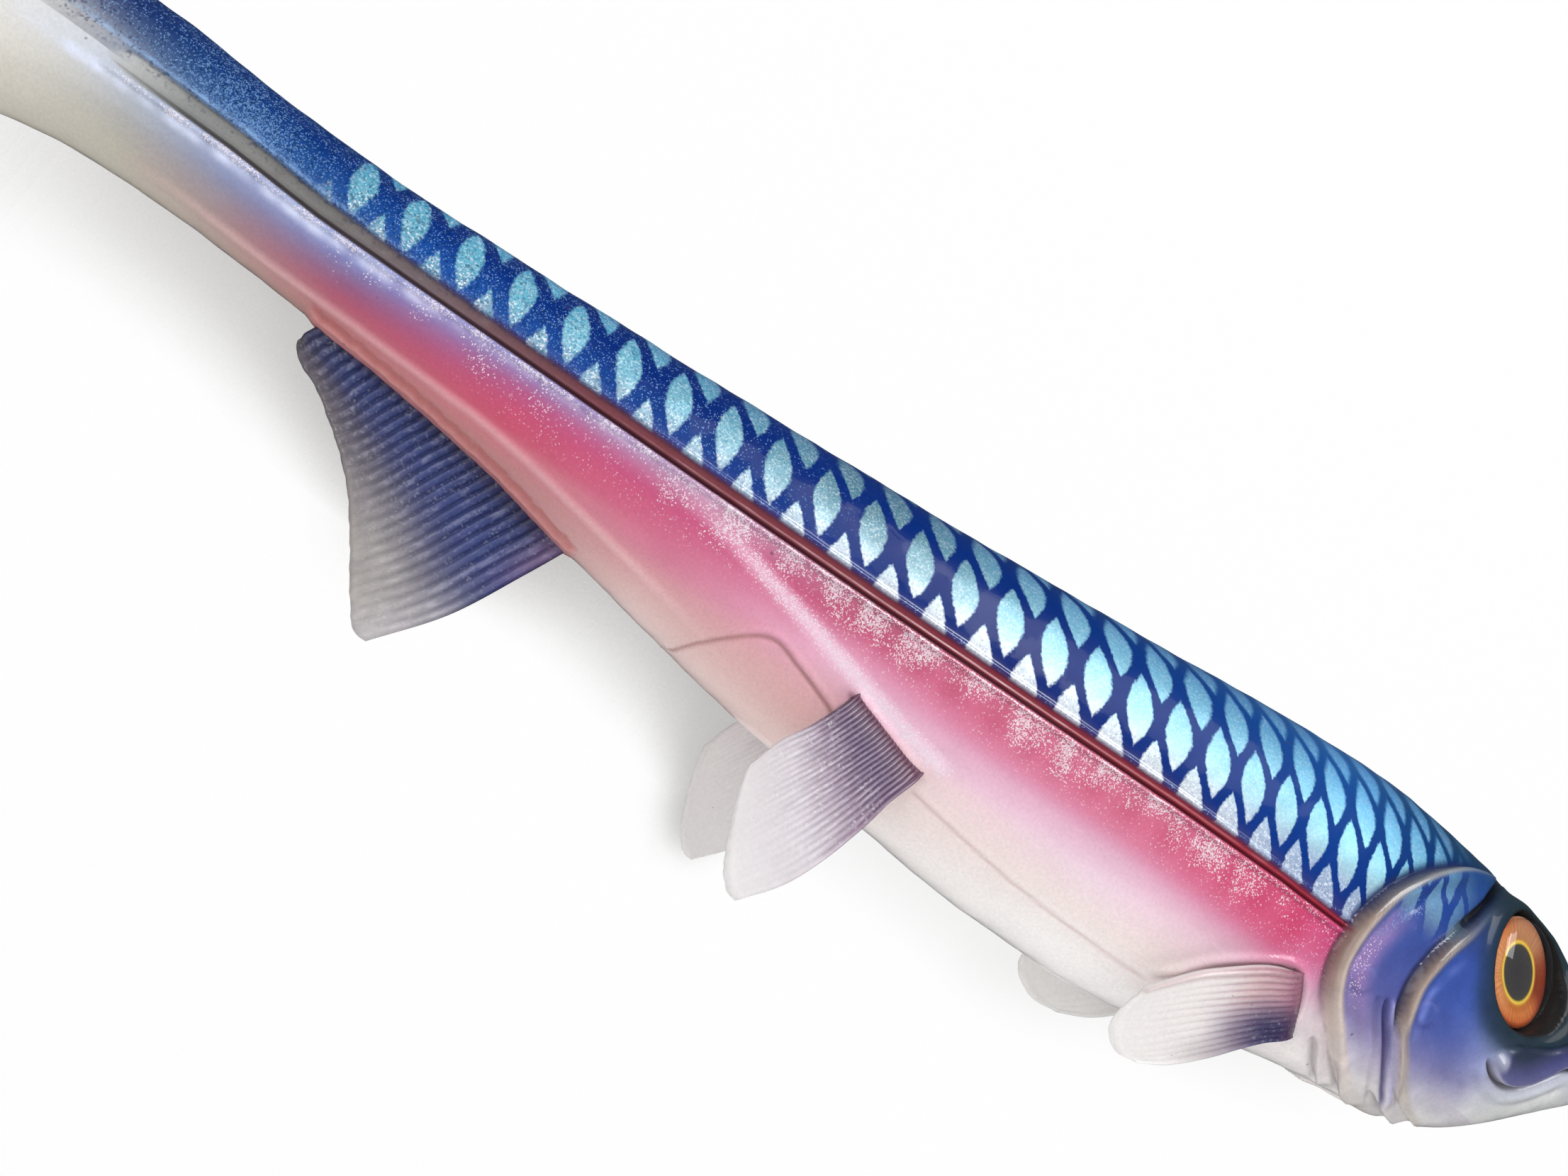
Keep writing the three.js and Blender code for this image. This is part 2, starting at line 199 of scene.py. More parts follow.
def mesh_object(name, points, faces, fields, material):
    """quad mesh with point attributes, among them each point's place at rest"""
    mesh = bpy.data.meshes.new(name)
    co = to_row(points).astype(np.float32)
    faces = np.asarray(faces, np.int32)
    mesh.vertices.add(len(co))
    mesh.vertices.foreach_set("co", co.ravel())
    mesh.loops.add(faces.size)
    mesh.loops.foreach_set("vertex_index", faces.ravel())
    mesh.polygons.add(len(faces))
    mesh.polygons.foreach_set("loop_start", np.arange(0, faces.size, 4, dtype=np.int32))
    mesh.polygons.foreach_set("loop_total", np.full(len(faces), 4, np.int32))
    mesh.polygons.foreach_set("use_smooth", np.ones(len(faces), bool))
    mesh.update(calc_edges=True)
    mesh.validate()
    for key, values in {**fields, "rest_place": co}.items():
        values = np.asarray(values, np.float32)
        kind, item = {4: ("FLOAT_COLOR", "color"), 3: ("FLOAT_VECTOR", "vector")}[values.shape[-1]]
        mesh.attributes.new(key, kind, "POINT").data.foreach_set(item, values.ravel())
    mesh.materials.append(material)
    return link_object(name, mesh)


def link_object(name, data):
    ob = bpy.data.objects.new(name, data)
    scene.collection.objects.link(ob)
    return ob


# ------------------------------------------------------------------ body form
# x, top z, bottom z, half width, z of the widest line
PROFILE = np.array([
    (0, 11.2, 5, 3.6, 8), (-1, 12.7, 4, 5, 7.8), (-3, 14.1, 2, 6.4, 7.4),
    (-6, 15.5, -0.5, 7.6, 7), (-10, 16.8, -4, 8.7, 6.3), (-14, 17.9, -6.9, 9.5, 5.6),
    (-18, 18.9, -8.8, 10.1, 5), (-22, 19.8, -10.1, 10.6, 4.5), (-26, 20.5, -11, 11.1, 4),
    (-31, 21, -11.6, 11.7, 3.5), (-36, 21.4, -12.3, 12.2, 3.1), (-40, 21.6, -13.1, 12.5, 2.8),
    (-45, 21.5, -14.4, 12.8, 2.5), (-50, 21.1, -15.9, 12.9, 2.2), (-57, 20.4, -17.6, 13, 1.9),
    (-65, 19.4, -18.2, 12.9, 1.6), (-73, 18.3, -18.2, 12.7, 1.4), (-81, 17.3, -17.9, 12.4, 1.2),
    (-90, 16.3, -17.1, 11.9, 1.1), (-97, 15.4, -16.4, 11.5, 1), (-105, 14.6, -15.6, 10.9, 1),
    (-113, 13.8, -14.6, 10.3, 1), (-120, 13.1, -13.4, 9.8, 1), (-128, 12.4, -12, 9.2, 1),
    (-135, 11.7, -10.8, 8.7, 1), (-142, 11.2, -9.4, 8.2, 1), (-149, 10.6, -8.4, 7.7, 1),
    (-156, 10.1, -7.7, 7.2, 1), (-163, 9.6, -7.2, 6.8, 1), (-170, 9.3, -6.8, 6.4, 1),
    (-176, 9.2, -6.6, 6.1, 1.1), (-182, 9.3, -6.4, 5.8, 1.2), (-189, 9.6, -6.6, 5.5, 1.3),
    (-192, 9.7, -6.8, 5.4, 1.3), (-196, 9.7, -7.2, 5.2, 1.2), (-200, 9.3, -8, 5, 0.9),
    (-205, 8.6, -9.4, 4.6, 0.2), (-210, 7.8, -11, 4.2, -0.8), (-215, 6.8, -12.8, 4, -2),
])[::-1]
TOP_POWER, BELLY_POWER = 2.15, 2.2      # superellipse powers above and below the widest line
# x, z of the side groove
GROOVE_LEVEL = [(-215, 1.9), (-200, 2), (-181, 1.9), (-171, 1.4), (-159, 1.5), (-126, 1.9),
                (-105, 2.2), (-82, 2.7), (-68, 3.1), (-53, 3.3), (-45, 3.1), (-30, 3.6),
                (-15, 5.2), (0, 8)]
# rings of the blunt tip: share of the first section's size, x ahead of the flat
TIP_RINGS = ((0.0, 0.42), (0.12, 0.42), (0.3, 0.40), (0.5, 0.36), (0.68, 0.30), (0.82, 0.22),
             (0.92, 0.12))
# points of a half outline: below, across and above the groove band
LOW_POINTS, BAND_POINTS, HIGH_POINTS = 84, 34, 72
TOP_COLUMN = LOW_POINTS + BAND_POINTS + HIGH_POINTS     # the back's midline; the keel is column 0
COLUMNS = 2 * TOP_COLUMN
GROOVE_BAND, FULL_BAND_ARC = 1.9, 26.0  # half the band's arc; shorter outlines get less


def half_section(top, bottom, half, middle, groove_z, groove_share=1.0):
    """y, z and arc from keel to back, crowded round the groove (or mid-outline at share 0)"""
    angle = np.linspace(-np.pi / 2, np.pi / 2, 1201)
    cosine, sine = np.cos(angle), np.sin(angle)
    power = 2 / np.where(sine >= 0, TOP_POWER, BELLY_POWER)
    y = half * np.abs(cosine) ** power
    z = middle + (np.where(sine >= 0, top - middle, middle - bottom)
                  * np.sign(sine) * np.abs(sine) ** power)
    travel = np.concatenate([[0], np.cumsum(np.hypot(np.diff(y), np.diff(z)))])
    total = travel[-1]
    groove = np.interp(groove_z, z, travel)
    groove = groove * groove_share + 0.5 * total * (1 - groove_share)
    band = GROOVE_BAND * min(1.0, total / FULL_BAND_ARC)
    at = np.concatenate([np.linspace(0, groove - band, LOW_POINTS + 1)[:-1],
                         np.linspace(groove - band, groove + band, BAND_POINTS + 1)[:-1],
                         np.linspace(groove + band, total, HIGH_POINTS + 1)])
    y, z = np.interp(at, travel, y), np.interp(at, travel, z)
    y[0] = y[-1] = 0.0
    return y, z, at - groove


def half_grid():
    """x, y, z and arc of every half ring, nose first"""
    rows = smooth_table(STATIONS, PROFILE)
    levels = lerp(STATIONS, GROOVE_LEVEL)
    top, bottom, half, middle = rows[0]
    rings = []
    for share, ahead in TIP_RINGS:
        share = max(share, 1e-3)
        ring = half_section(middle + (top - middle) * share, middle - (middle - bottom) * share,
                            half * share, middle, levels[0])
        rings.append((np.full(TOP_COLUMN + 1, ahead), *ring))
    for x, row, level in zip(STATIONS, rows, levels):
        rings.append((np.full(TOP_COLUMN + 1, x), *half_section(*row, level, ramp(-12, -30, x))))
    return np.swapaxes(np.array(rings), 0, 1)


# fine over the head and at the pelvic fins, coarser elsewhere
STATIONS = np.concatenate([np.arange(0, -58.0, -0.25), np.arange(-58.0, -100.0, -0.5),
                           np.arange(-100.0, -121.0, -0.25), np.arange(-121.0, -213.01, -0.5)])

# ------------------------------------------------------------------ lines on the flank, (x, arc)
GILL_RIM = [(-23, 19.6), (-25.5, 17.6), (-31.3, 15), (-35.6, 12.2), (-38.8, 9.4), (-41.3, 6.3),
            (-42.8, 3.1), (-43.5, 0), (-43.5, -3.1), (-42.6, -5.6), (-40.9, -7.9), (-38, -10.4),
            (-33.6, -13.8), (-28, -17.2), (-22, -20.5)]
CHEEK_RIM = [(-22.6, 19), (-25, 16.2), (-28.1, 11.3), (-30.6, 7.5), (-32.5, 4.4), (-33.5, 1.3),
             (-33.7, -1.3), (-33.1, -3.8), (-31.9, -6.3), (-29.4, -8.8), (-26.9, -11.3),
             (-23.5, -13.6), (-19, -15.6)]
GILL_FOLD = [(-35.2, -3.6), (-34.5, -5.2), (-31.3, -8.3), (-28.1, -11.6), (-24.4, -15.6)]
THROAT_FOLDS = [[(-38.4, -11.5), (-35, -15), (-30, -19.4)],
                [(-35.6, -11.8), (-31.5, -14.9), (-26.3, -18.9)],
                [(-27.5, -13.6), (-23.5, -16), (-19, -18.2)]]
PECTORAL_LIP = [(-58.6, -17.4), (-56.4, -15.4), (-53.8, -12), (-50, -9), (-46.5, -7.1),
                (-44.3, -8), (-42.4, -11.2), (-40.2, -15.6)]
PELVIC_LIP = [(-103, -9.3), (-101, -9.8), (-96, -11.4), (-91, -12.9)]
REAR_SEAM = [(-118.6, -19.8), (-117.4, -15.2), (-114.6, -11.4), (-111.6, -9.4), (-108.1, -10.2),
             (-103.2, -11.9), (-102, -12.6)]
FRONT_SEAM = [(-91.4, -14.4), (-84.4, -15.6), (-75, -16.9), (-65, -17.5), (-57.5, -17.5)]
LOW_RIDGE = [(-191, -7.2), (-180, -7.5), (-170, -7.5), (-152, -7.9), (-143.8, -8.5),
             (-131, -10.7), (-120, -13), (-111, -15.4)]
PEARL_AND_HIGHLIGHT_STREAK = [(-130, -1.9), (-120, -3.6), (-110, -5.9), (-101, -8.2), (-94, -9.9), (-88, -11)]
MOULD_MARKS = ((-39.2, -3.6), (-30.4, -2.9))
# these two are (x, z): from the jaw's corner forward along the upper lip's lower and upper edge
MOUTH = [(-19.6, 1.5), (-18.2, 0.5), (-16.6, 0), (-15, 0.2), (-12.9, 1.5), (-11.2, 3.5),
         (-9.6, 5.5), (-7, 6.6), (-3.5, 6.7), (3, 6.6)]
LIP_TOP = [(-19, 2.2), (-17.6, 3.6), (-15.4, 4.7), (-12.6, 6.2), (-9.6, 8.3), (-6, 9.6),
           (-2, 9.8), (3, 9.8)]


# ------------------------------------------------------------------ relief of the casting
class Side(SimpleNamespace):
    """grids over the right half of the casting; relief leaves masks here for the paint"""

    def lay(self, colour, amount):
        self.paint = mix(self.paint, colour, amount)


def raise_plates(side):
    """gill cover and cheek plate; distances to their rims are positive towards the nose"""
    x, arc = side.x, side.arc
    gill, share = to_curve(x, arc, GILL_RIM, 16)
    side.gill_env = fade(share, 0.03, 0.22, 0.74, 0.97, drop=0.55)
    cheek, cheek_share = to_curve(x, arc, CHEEK_RIM, 16)
    side.cheek_env = fade(cheek_share, 0.10, 0.34, 0.80, 0.99, drop=0.5)
    # raised plate, fleshy roll along its edge, dip behind the gill's roll, undercut behind the rim
    side.height += side.gill_env * (
        plate(gill, height=1.15, start=-0.16, full=0.24, crest=1.7, fall=5.5)
        + 0.30 * half_wave(gill, 1.9) - 0.30 * bump(gill - 2.6, 1.3))
    side.height -= side.gill_env * 0.42 * (gill < 0) * trail(gill, 0.75) * ramp(0.2, -0.1, gill)
    side.height += side.cheek_env * (
        plate(cheek, height=0.95, start=-0.16, full=0.22, crest=1.5, fall=6.0)
        + 0.26 * half_wave(cheek, 1.6))
    side.height -= side.cheek_env * 0.40 * (cheek < 0) * trail(cheek, 0.9)
    # slit behind the upper cheek rim
    side.slit = fade(cheek_share, 0.02, 0.08, 0.20, 0.32)
    side.height -= side.slit * 0.9 * bump(cheek + 0.55, 0.85)
    # fold between the plates: crease, roll, crease, and a dip on the other side
    side.fold, share = to_curve(x, arc, GILL_FOLD, 5)
    side.fold_env = fade(share, 0.0, 0.12, 0.86, 1.0)
    side.height += side.fold_env * (
        -0.55 * bump(side.fold, 0.42) + 0.42 * bump(side.fold - 0.85, 0.75)
        - 0.40 * bump(side.fold - 1.75, 0.5) - 0.30 * bump(side.fold + 1.3, 0.55))
    side.throat = np.zeros(x.shape)
    for points in THROAT_FOLDS:
        fold, share = to_curve(x, arc, points, 6)
        env = fade(share, 0.0, 0.15, 0.8, 1.0)
        step = plate(fold, height=0.85, start=-0.18, full=0.25, crest=0, fall=1.7)
        side.height += env * (step - 0.48 * bump(fold + 0.35, 0.5))
        side.throat = np.maximum(side.throat, env * bump(fold + 0.1, 0.5))
    # beyond reach the distances turn positive, so the body behind gets a plain "outside"
    side.gill = np.where(x > -45.2, gill, -50.0)
    side.cheek = np.where(x > -36.5, cheek, -50.0)


def cut_groove(side):
    """side groove from the wrist to the gill cover, round-ended, with a bead on each lip"""
    x, arc = side.x, side.arc
    upper = lerp(x, [(-200, 1.45), (-185, 1.35), (-165, 1.1), (-150, 0.95), (-125, 0.9),
                     (-100, 0.85), (-70, 0.72), (-50, 0.55), (-43, 0.45)])
    lower = lerp(x, [(-200, -0.9), (-185, -0.8), (-150, -0.66), (-100, -0.6), (-70, -0.52),
                     (-50, -0.42), (-43, -0.34)])
    opening = rounded(x + 195.2, 4.0)
    behind_gill = np.where(x < -47, 1.0, ramp(0.15, -0.45, side.gill) * (x < -40))
    env = opening * behind_gill
    depth = lerp(x, [(-200, 0.12), (-188, 0.30), (-176, 0.40), (-120, 0.38), (-60, 0.34),
                     (-43, 0.26)])
    inside = (ramp(upper * opening + 0.13, upper * opening - 0.13, arc)
              * ramp(lower * opening - 0.13, lower * opening + 0.13, arc))
    side.height -= env * depth * inside
    # dark slit at the foot, bead above it, then the two lips
    side.height -= env * 0.30 * bump(arc - (lower + 0.20), 0.20) * ramp(-196, -182, x)
    side.height += env * 0.15 * bump(arc - (lower + 0.52), 0.17)
    side.height += env * (0.20 * bump(arc - (upper + 0.30), 0.42)
                          + 0.27 * bump(arc - (lower - 0.40), 0.50))
    side.upper, side.lower, side.groove, side.groove_env = upper, lower, env * inside, env


def raise_fin_roots(side):
    """lips the paired fins grow from, and the ragged rib the anal fin stands on"""
    x, arc = side.x, side.arc
    lip, share = to_curve(x, arc, PECTORAL_LIP, 6)
    env = fade(share, 0.0, 0.2, 0.86, 1.0)
    side.height += env * (0.5 * bump(lip - 0.6, 0.95) - 0.45 * ramp(0.1, -0.3, lip) * trail(lip, 1.5))
    side.pectoral, side.pectoral_env = lip, env
    lip, share = to_curve(x, arc, PELVIC_LIP, 5)
    env = fade(share, 0.05, 0.40, 0.85, 1.0)
    side.height += env * (0.34 * bump(lip - 0.5, 0.9) - 0.30 * ramp(0.1, -0.2, lip) * trail(lip, 0.9))
    side.pelvic, side.pelvic_env = lip, env
    keel = arc - arc[:, :1]
    edge = 3.0 + 0.12 * np.sin(x * 2.1) + 0.11 * np.sin(x * 3.7 + 1.0) + 0.07 * np.sin(x * 5.1)
    env = ramp(-167.6, -166.0, x) * ramp(-131.6, -133.2, x)
    side.rib = env * ramp(edge + 0.25, edge - 0.25, keel)
    side.height += (0.40 * side.rib + 0.10 * env * bump(keel - (edge - 0.6), 0.6)
                    - 0.12 * env * bump(keel - (edge + 0.4), 0.4))
    side.keel, side.rib_env = keel, env
    side.rib_line = env * bump(keel - (edge + 0.2), 0.6)


def raise_seams(side):
    """two seams, a soft ridge low on the flank, and round marks on the gill plates"""
    x, arc = side.x, side.arc
    rear, share = to_curve(x, arc, REAR_SEAM, 3)
    rear_env = fade(share, 0, 0.04, 0.95, 1)
    front, share = to_curve(x, arc, FRONT_SEAM, 3)
    front_env = fade(share, 0, 0.04, 0.95, 1)
    side.height += (rear_env * (-0.17 * bump(rear, 0.42) + 0.14 * bump(rear - 0.55, 0.55))
                    + front_env * (-0.07 * bump(front, 0.34) + 0.05 * bump(front - 0.42, 0.4)))
    side.seam = np.maximum(rear_env * bump(rear, 0.38), 0.4 * front_env * bump(front, 0.34))
    ridge, share = to_curve(x, arc, LOW_RIDGE, 5)
    side.ridge = fade(share, 0, 0.2, 0.75, 1) * bump(ridge, 0.9)
    side.height += 0.16 * side.ridge
    for mark_x, mark_arc in MOULD_MARKS:
        radius = np.hypot(x - mark_x, arc - mark_arc)
        side.height += -0.09 * bump(radius - 1.45, 0.22) + 0.05 * ramp(1.5, 1.3, radius)


def raise_mouth(side):
    """mouth line, upper lip and the knob at the jaw's corner, read in the side view"""
    x, z = side.x, side.z
    head = x > -22
    bowed = z + 2.3 * (side.y / 7.5) ** 2 * ramp(-8.5, -4.0, x)   # lips arch over the blunt front
    mouth, share = to_curve(x, bowed, MOUTH, 5)
    side.mouth, side.mouth_env = mouth, ramp(0.0, 0.10, share) * head
    side.height += side.mouth_env * (
        plate(mouth, height=0.75, start=-0.10, full=0.22, crest=0.9, fall=2.2)
        - 0.70 * bump(mouth + 0.32, 0.42) + 0.30 * bump(mouth + 1.6, 1.2))
    side.lip, share = to_curve(x, bowed, LIP_TOP, 5)
    side.height += ramp(0.0, 0.2, share) * head * (
        -0.32 * bump(side.lip, 0.6) + 0.22 * bump(side.lip - 1.1, 1.2))
    side.knob = bump(np.hypot(x + 18.0, z - 1.7), 1.5) * head
    side.height += 0.35 * side.knob


def add_unevenness(side):
    """slow waves of a hand-demoulded soft casting"""
    x, arc = side.x, side.arc
    side.height += (0.035 * np.sin(x * 0.37 + 0.8 * np.sin(arc * 0.31)) * np.sin(arc * 0.42 + 0.5)
                    + 0.018 * np.sin(x * 0.91 + arc * 0.63)
                    + 0.012 * np.sin(x * 1.7 - arc * 1.3 + 2.0))


def mirror(half):
    """appends the left half's columns, back to keel"""
    return np.concatenate([half, half[:, -2:0:-1]], axis=1)


def close_rings(right):
    rings = mirror(right)
    rings[:, TOP_COLUMN + 1:, 1] *= -1
    return rings


def grid_normals(grid):
    along = np.empty_like(grid)
    along[1:-1] = grid[2:] - grid[:-2]
    along[0] = grid[1] - grid[0]
    along[-1] = grid[-1] - grid[-2]
    around = np.roll(grid, -1, axis=1) - np.roll(grid, 1, axis=1)
    normal = np.cross(around, along)
    normal = normal / np.maximum(np.linalg.norm(normal, axis=-1, keepdims=True), 1e-12)
    normal[0] = (1, 0, 0)
    return normal


# ------------------------------------------------------------------ eye seat (right side)
EYE_CENTRE = np.array([-19.3, -8.62, 11.75])
EYE_AXIS = np.array([0.31, -0.90, 0.29])
EYE_AXIS /= np.linalg.norm(EYE_AXIS)
EYE_FORWARD = np.array([1.0, 0, 0]) - EYE_AXIS[0] * EYE_AXIS
EYE_FORWARD /= np.linalg.norm(EYE_FORWARD)
EYE_UP = np.cross(EYE_AXIS, EYE_FORWARD)


def eye_polar(points):
    """distance from the eye's axis, height along it, and angle round it (0 forward, rising)"""
    offset = points - EYE_CENTRE
    height = offset @ EYE_AXIS
    flat = offset - height[..., None] * EYE_AXIS
    angle = np.arctan2(flat @ EYE_UP, flat @ EYE_FORWARD)
    return np.linalg.norm(flat, axis=-1), height, angle


def sink_socket(points):
    """sinks the round socket and raises the brow round it"""
    radius, height, angle = eye_polar(points)
    hit = (height > -8) & (radius < 11)
    above = ramp(-0.2, 0.9, np.sin(angle))
    brow = bump(radius - 7.75, 1.25) * (0.30 + 0.42 * above) - 0.22 * bump(radius - 9.6, 1.3) * above
    floor = -2.1
    sunk = np.where(radius < 6.95, floor + (height - floor) * ramp(6.15, 6.8, radius), height)
    lift = np.where(hit, sunk + brow + 0.10 * bump(radius - 6.95, 0.5) - height, 0.0)
    # bring the wall's lip to a nearly even height all round, so the dome sits in it
    lip = np.where(hit, bump(radius - 7.0, 1.8) * ramp(6.5, 6.9, radius), 0.0)
    lift = lift + lip * np.clip(0.15 - (height + lift), -0.9, 0.9) * 0.55
    return points + lift[..., None] * EYE_AXIS


# ------------------------------------------------------------------ paint, 0..255 display values
# columns of (x, [(arc, red, green, blue), ...]), tail to head: below the groove, then above it
FLANK_LOW = [
    (-232, [(-1, 216, 214, 206), (-8, 218, 215, 205), (-14, 210, 206, 194)]),
    (-206, [(-1, 212, 212, 210), (-4, 214, 211, 204), (-8, 210, 206, 194), (-12, 200, 195, 182)]),
    (-198, [(-1, 196, 200, 206), (-4, 196, 194, 188), (-8, 198, 194, 182), (-12, 190, 184, 170)]),
    (-190, [(-1.2, 166, 176, 194), (-2.5, 158, 164, 174), (-5, 172, 170, 164),
            (-7, 186, 182, 168), (-9, 190, 186, 172), (-12, 176, 171, 156)]),
    (-180, [(-1.2, 146, 156, 190), (-3, 128, 136, 170), (-5, 152, 142, 152),
            (-7, 172, 150, 146), (-9, 184, 168, 158), (-12, 180, 168, 156)]),
    (-165, [(-1.2, 138, 146, 192), (-2.5, 118, 120, 172), (-4.5, 146, 92, 128),
            (-6, 174, 90, 112), (-8, 184, 120, 124), (-11, 176, 128, 122)]),
    (-145, [(-1, 132, 124, 178), (-2, 150, 112, 158), (-3.2, 176, 84, 128), (-5, 194, 78, 112),
            (-7, 198, 84, 110), (-8.4, 206, 124, 134), (-11, 192, 136, 134)]),
    (-125, [(-1, 182, 142, 172), (-2, 190, 132, 160), (-4, 190, 84, 122), (-6, 198, 100, 132),
            (-9, 206, 124, 148), (-11, 212, 154, 160), (-14, 216, 182, 178),
            (-18, 228, 206, 202)]),
    # the light stops at arc -6 and -8 in this column carry the streak's painted highlight
    (-105, [(-1.5, 170, 86, 112), (-3.5, 184, 82, 114), (-6, 214, 146, 172), (-8, 226, 174, 196),
            (-11, 222, 170, 178), (-14, 226, 180, 177), (-18, 232, 204, 198),
            (-26, 240, 222, 216)]),
    (-90, [(-1.5, 186, 92, 120), (-4, 190, 92, 122), (-6, 206, 124, 152), (-8, 216, 164, 188),
           (-10, 224, 184, 202), (-12, 230, 204, 206), (-16, 236, 220, 216),
           (-22, 244, 238, 234)]),
    (-70, [(-1.5, 188, 96, 124), (-4, 196, 96, 124), (-6, 206, 122, 150), (-8, 216, 168, 190),
           (-11, 232, 206, 218), (-15, 240, 226, 222), (-20, 250, 247, 244)]),
    (-50, [(-1.5, 190, 66, 104), (-4, 192, 66, 104), (-6, 200, 92, 128), (-8, 212, 148, 172),
           (-10, 228, 192, 204), (-14, 240, 224, 222), (-20, 250, 247, 245)]),
    (-42, [(-1.5, 186, 64, 116), (-4, 198, 98, 140), (-7, 210, 156, 186), (-10, 226, 210, 218),
           (-14, 236, 230, 230), (-20, 246, 243, 241)]),
]
FLANK_HIGH = [
    (-232, [(1, 216, 214, 206), (6, 214, 212, 208), (13, 190, 194, 204)]),
    (-212, [(1.2, 206, 205, 202), (4, 186, 187, 192), (8, 112, 122, 156), (13, 52, 70, 124)]),
    (-204, [(1.2, 186, 185, 184), (3.5, 142, 146, 156), (7, 60, 74, 118), (12, 20, 38, 96)]),
    (-197, [(1.2, 150, 153, 160), (3, 96, 104, 128), (6, 30, 48, 98), (10, 8, 28, 84)]),
    (-185, [(1.5, 70, 96, 142), (3, 40, 74, 126), (6, 8, 46, 106), (10, 2, 30, 86)]),
    (-160, [(1.5, 36, 78, 148), (3, 22, 72, 146), (6, 0, 40, 112), (10, 0, 32, 94)]),
    (-130, [(1.5, 40, 64, 136), (3, 14, 54, 124), (6, 0, 36, 108), (12, 0, 34, 100)]),
    (-90, [(1.2, 26, 36, 104), (3, 0, 34, 106), (6, 0, 36, 110), (12, 0, 38, 104),
           (20, 6, 46, 94)]),
    (-50, [(1.2, 40, 52, 118), (3, 8, 50, 124), (6, 2, 52, 128), (12, 12, 62, 130),
           (18, 30, 78, 134), (24, 40, 84, 130)]),
    (-38, [(1.2, 36, 42, 108), (6, 8, 44, 112), (12, 8, 50, 108), (18, 22, 58, 96),
           (24, 28, 64, 98)]),
    (-24, [(6, 24, 44, 82), (12, 26, 50, 80), (18, 30, 52, 70), (26, 32, 54, 68)]),
    (-12, [(4, 32, 42, 60), (14, 28, 40, 46), (24, 30, 44, 50)]),
]
# the rest are stops (place, red, green, blue): by x for the groove, by arc for the others
GROOVE_FLOOR = [(-200, 200, 200, 196), (-193, 172, 173, 172), (-186, 124, 126, 124),
                (-172, 108, 106, 104), (-158, 108, 92, 96), (-145, 112, 70, 76),
                (-138, 118, 62, 70), (-110, 126, 52, 62), (-90, 132, 44, 58), (-70, 146, 42, 56),
                (-45, 166, 46, 66), (-40, 166, 50, 74)]
GILL_COVER = [(-20, 228, 226, 222), (-13, 216, 212, 214), (-10.5, 184, 178, 198),
              (-7.5, 124, 120, 164), (-4, 80, 86, 148), (0, 66, 80, 148), (4, 52, 74, 144),
              (8, 26, 58, 132), (13, 30, 64, 122), (18, 40, 66, 100)]
CHEEK = [(-19, 230, 229, 225), (-13.5, 222, 221, 220), (-10.5, 186, 182, 198),
         (-7.5, 118, 118, 164), (-4, 72, 86, 154), (0, 56, 80, 156), (4, 50, 76, 152),
         (8, 40, 60, 112), (12, 34, 50, 74), (18, 34, 52, 62)]
PLATE_EDGE = [(-16, 216, 208, 200), (-9, 196, 182, 170), (-4, 168, 146, 130), (2, 140, 120, 104),
              (8, 104, 104, 104), (16, 84, 100, 108)]
CELLS_HEAD = [(1.5, 206, 212, 220), (3.2, 200, 216, 222), (4.8, 162, 202, 212),
              (6.5, 140, 190, 205), (8.5, 128, 184, 203), (11.5, 106, 166, 195),
              (15, 84, 144, 184), (20, 66, 120, 166)]
CELLS_TAIL = [(1.5, 116, 164, 192), (3.4, 104, 170, 192), (6, 92, 166, 190), (9, 66, 144, 180),
              (12, 48, 118, 164)]
DARK_MASK = (32, 46, 52)        # round the eye and over the snout


def paint_flank(side):
    x, arc, lay = side.x, side.arc, side.lay
    side.paint = np.where((arc < 0.1)[..., None], table_2d(x, arc, FLANK_LOW),
                          table_2d(x, arc, FLANK_HIGH))
    # the ridge of the back is a touch lighter and greener
    lay((24, 62, 112), 0.5 * ramp(-4.5, -0.5, side.from_back) * ramp(-205, -170, x))
    # pale streak that climbs over the flank towards the tail, partly pearl paint and partly a painted
    # highlight
    streak, share = to_curve(x, arc, PEARL_AND_HIGHLIGHT_STREAK, 6)
    side.streak = bump(streak, 1.5) * fade(share, 0.02, 0.3, 0.9, 1.0)
    lay((246, 224, 238), 0.62 * side.streak)
    # thin upright pink brush bands near the shoulder
    bands = 0.5 + 0.5 * np.sin(x * 1.43 + 0.9 * np.sin(x * 0.31))
    lay((238, 150, 180), 0.16 * bands * ramp(-7.0, -4.0, arc) * ramp(-1.0, -2.0, arc)
        * ramp(-110, -95, x) * (x < -43))
    # soft ridge, painted lighter along its crest as a highlight, and seams
    lay((232, 196, 196), 0.45 * side.ridge)
    lay((150, 96, 92), 0.5 * side.seam)
    # anal rib: its face, its edge line, its foot at the keel
    lay((204, 138, 136), 0.85 * side.rib)
    lay((176, 92, 92), 0.55 * side.rib_line)
    lay((196, 104, 98), 0.75 * side.rib_env * ramp(1.6, 0.8, side.keel))
    # painted shade in the creases at the edges of the fin lips
    lay((186, 150, 158), 0.5 * side.pectoral_env * bump(side.pectoral - 0.1, 0.9))
    lay((150, 90, 110), 0.6 * side.pelvic_env * bump(side.pelvic + 0.1, 0.6))


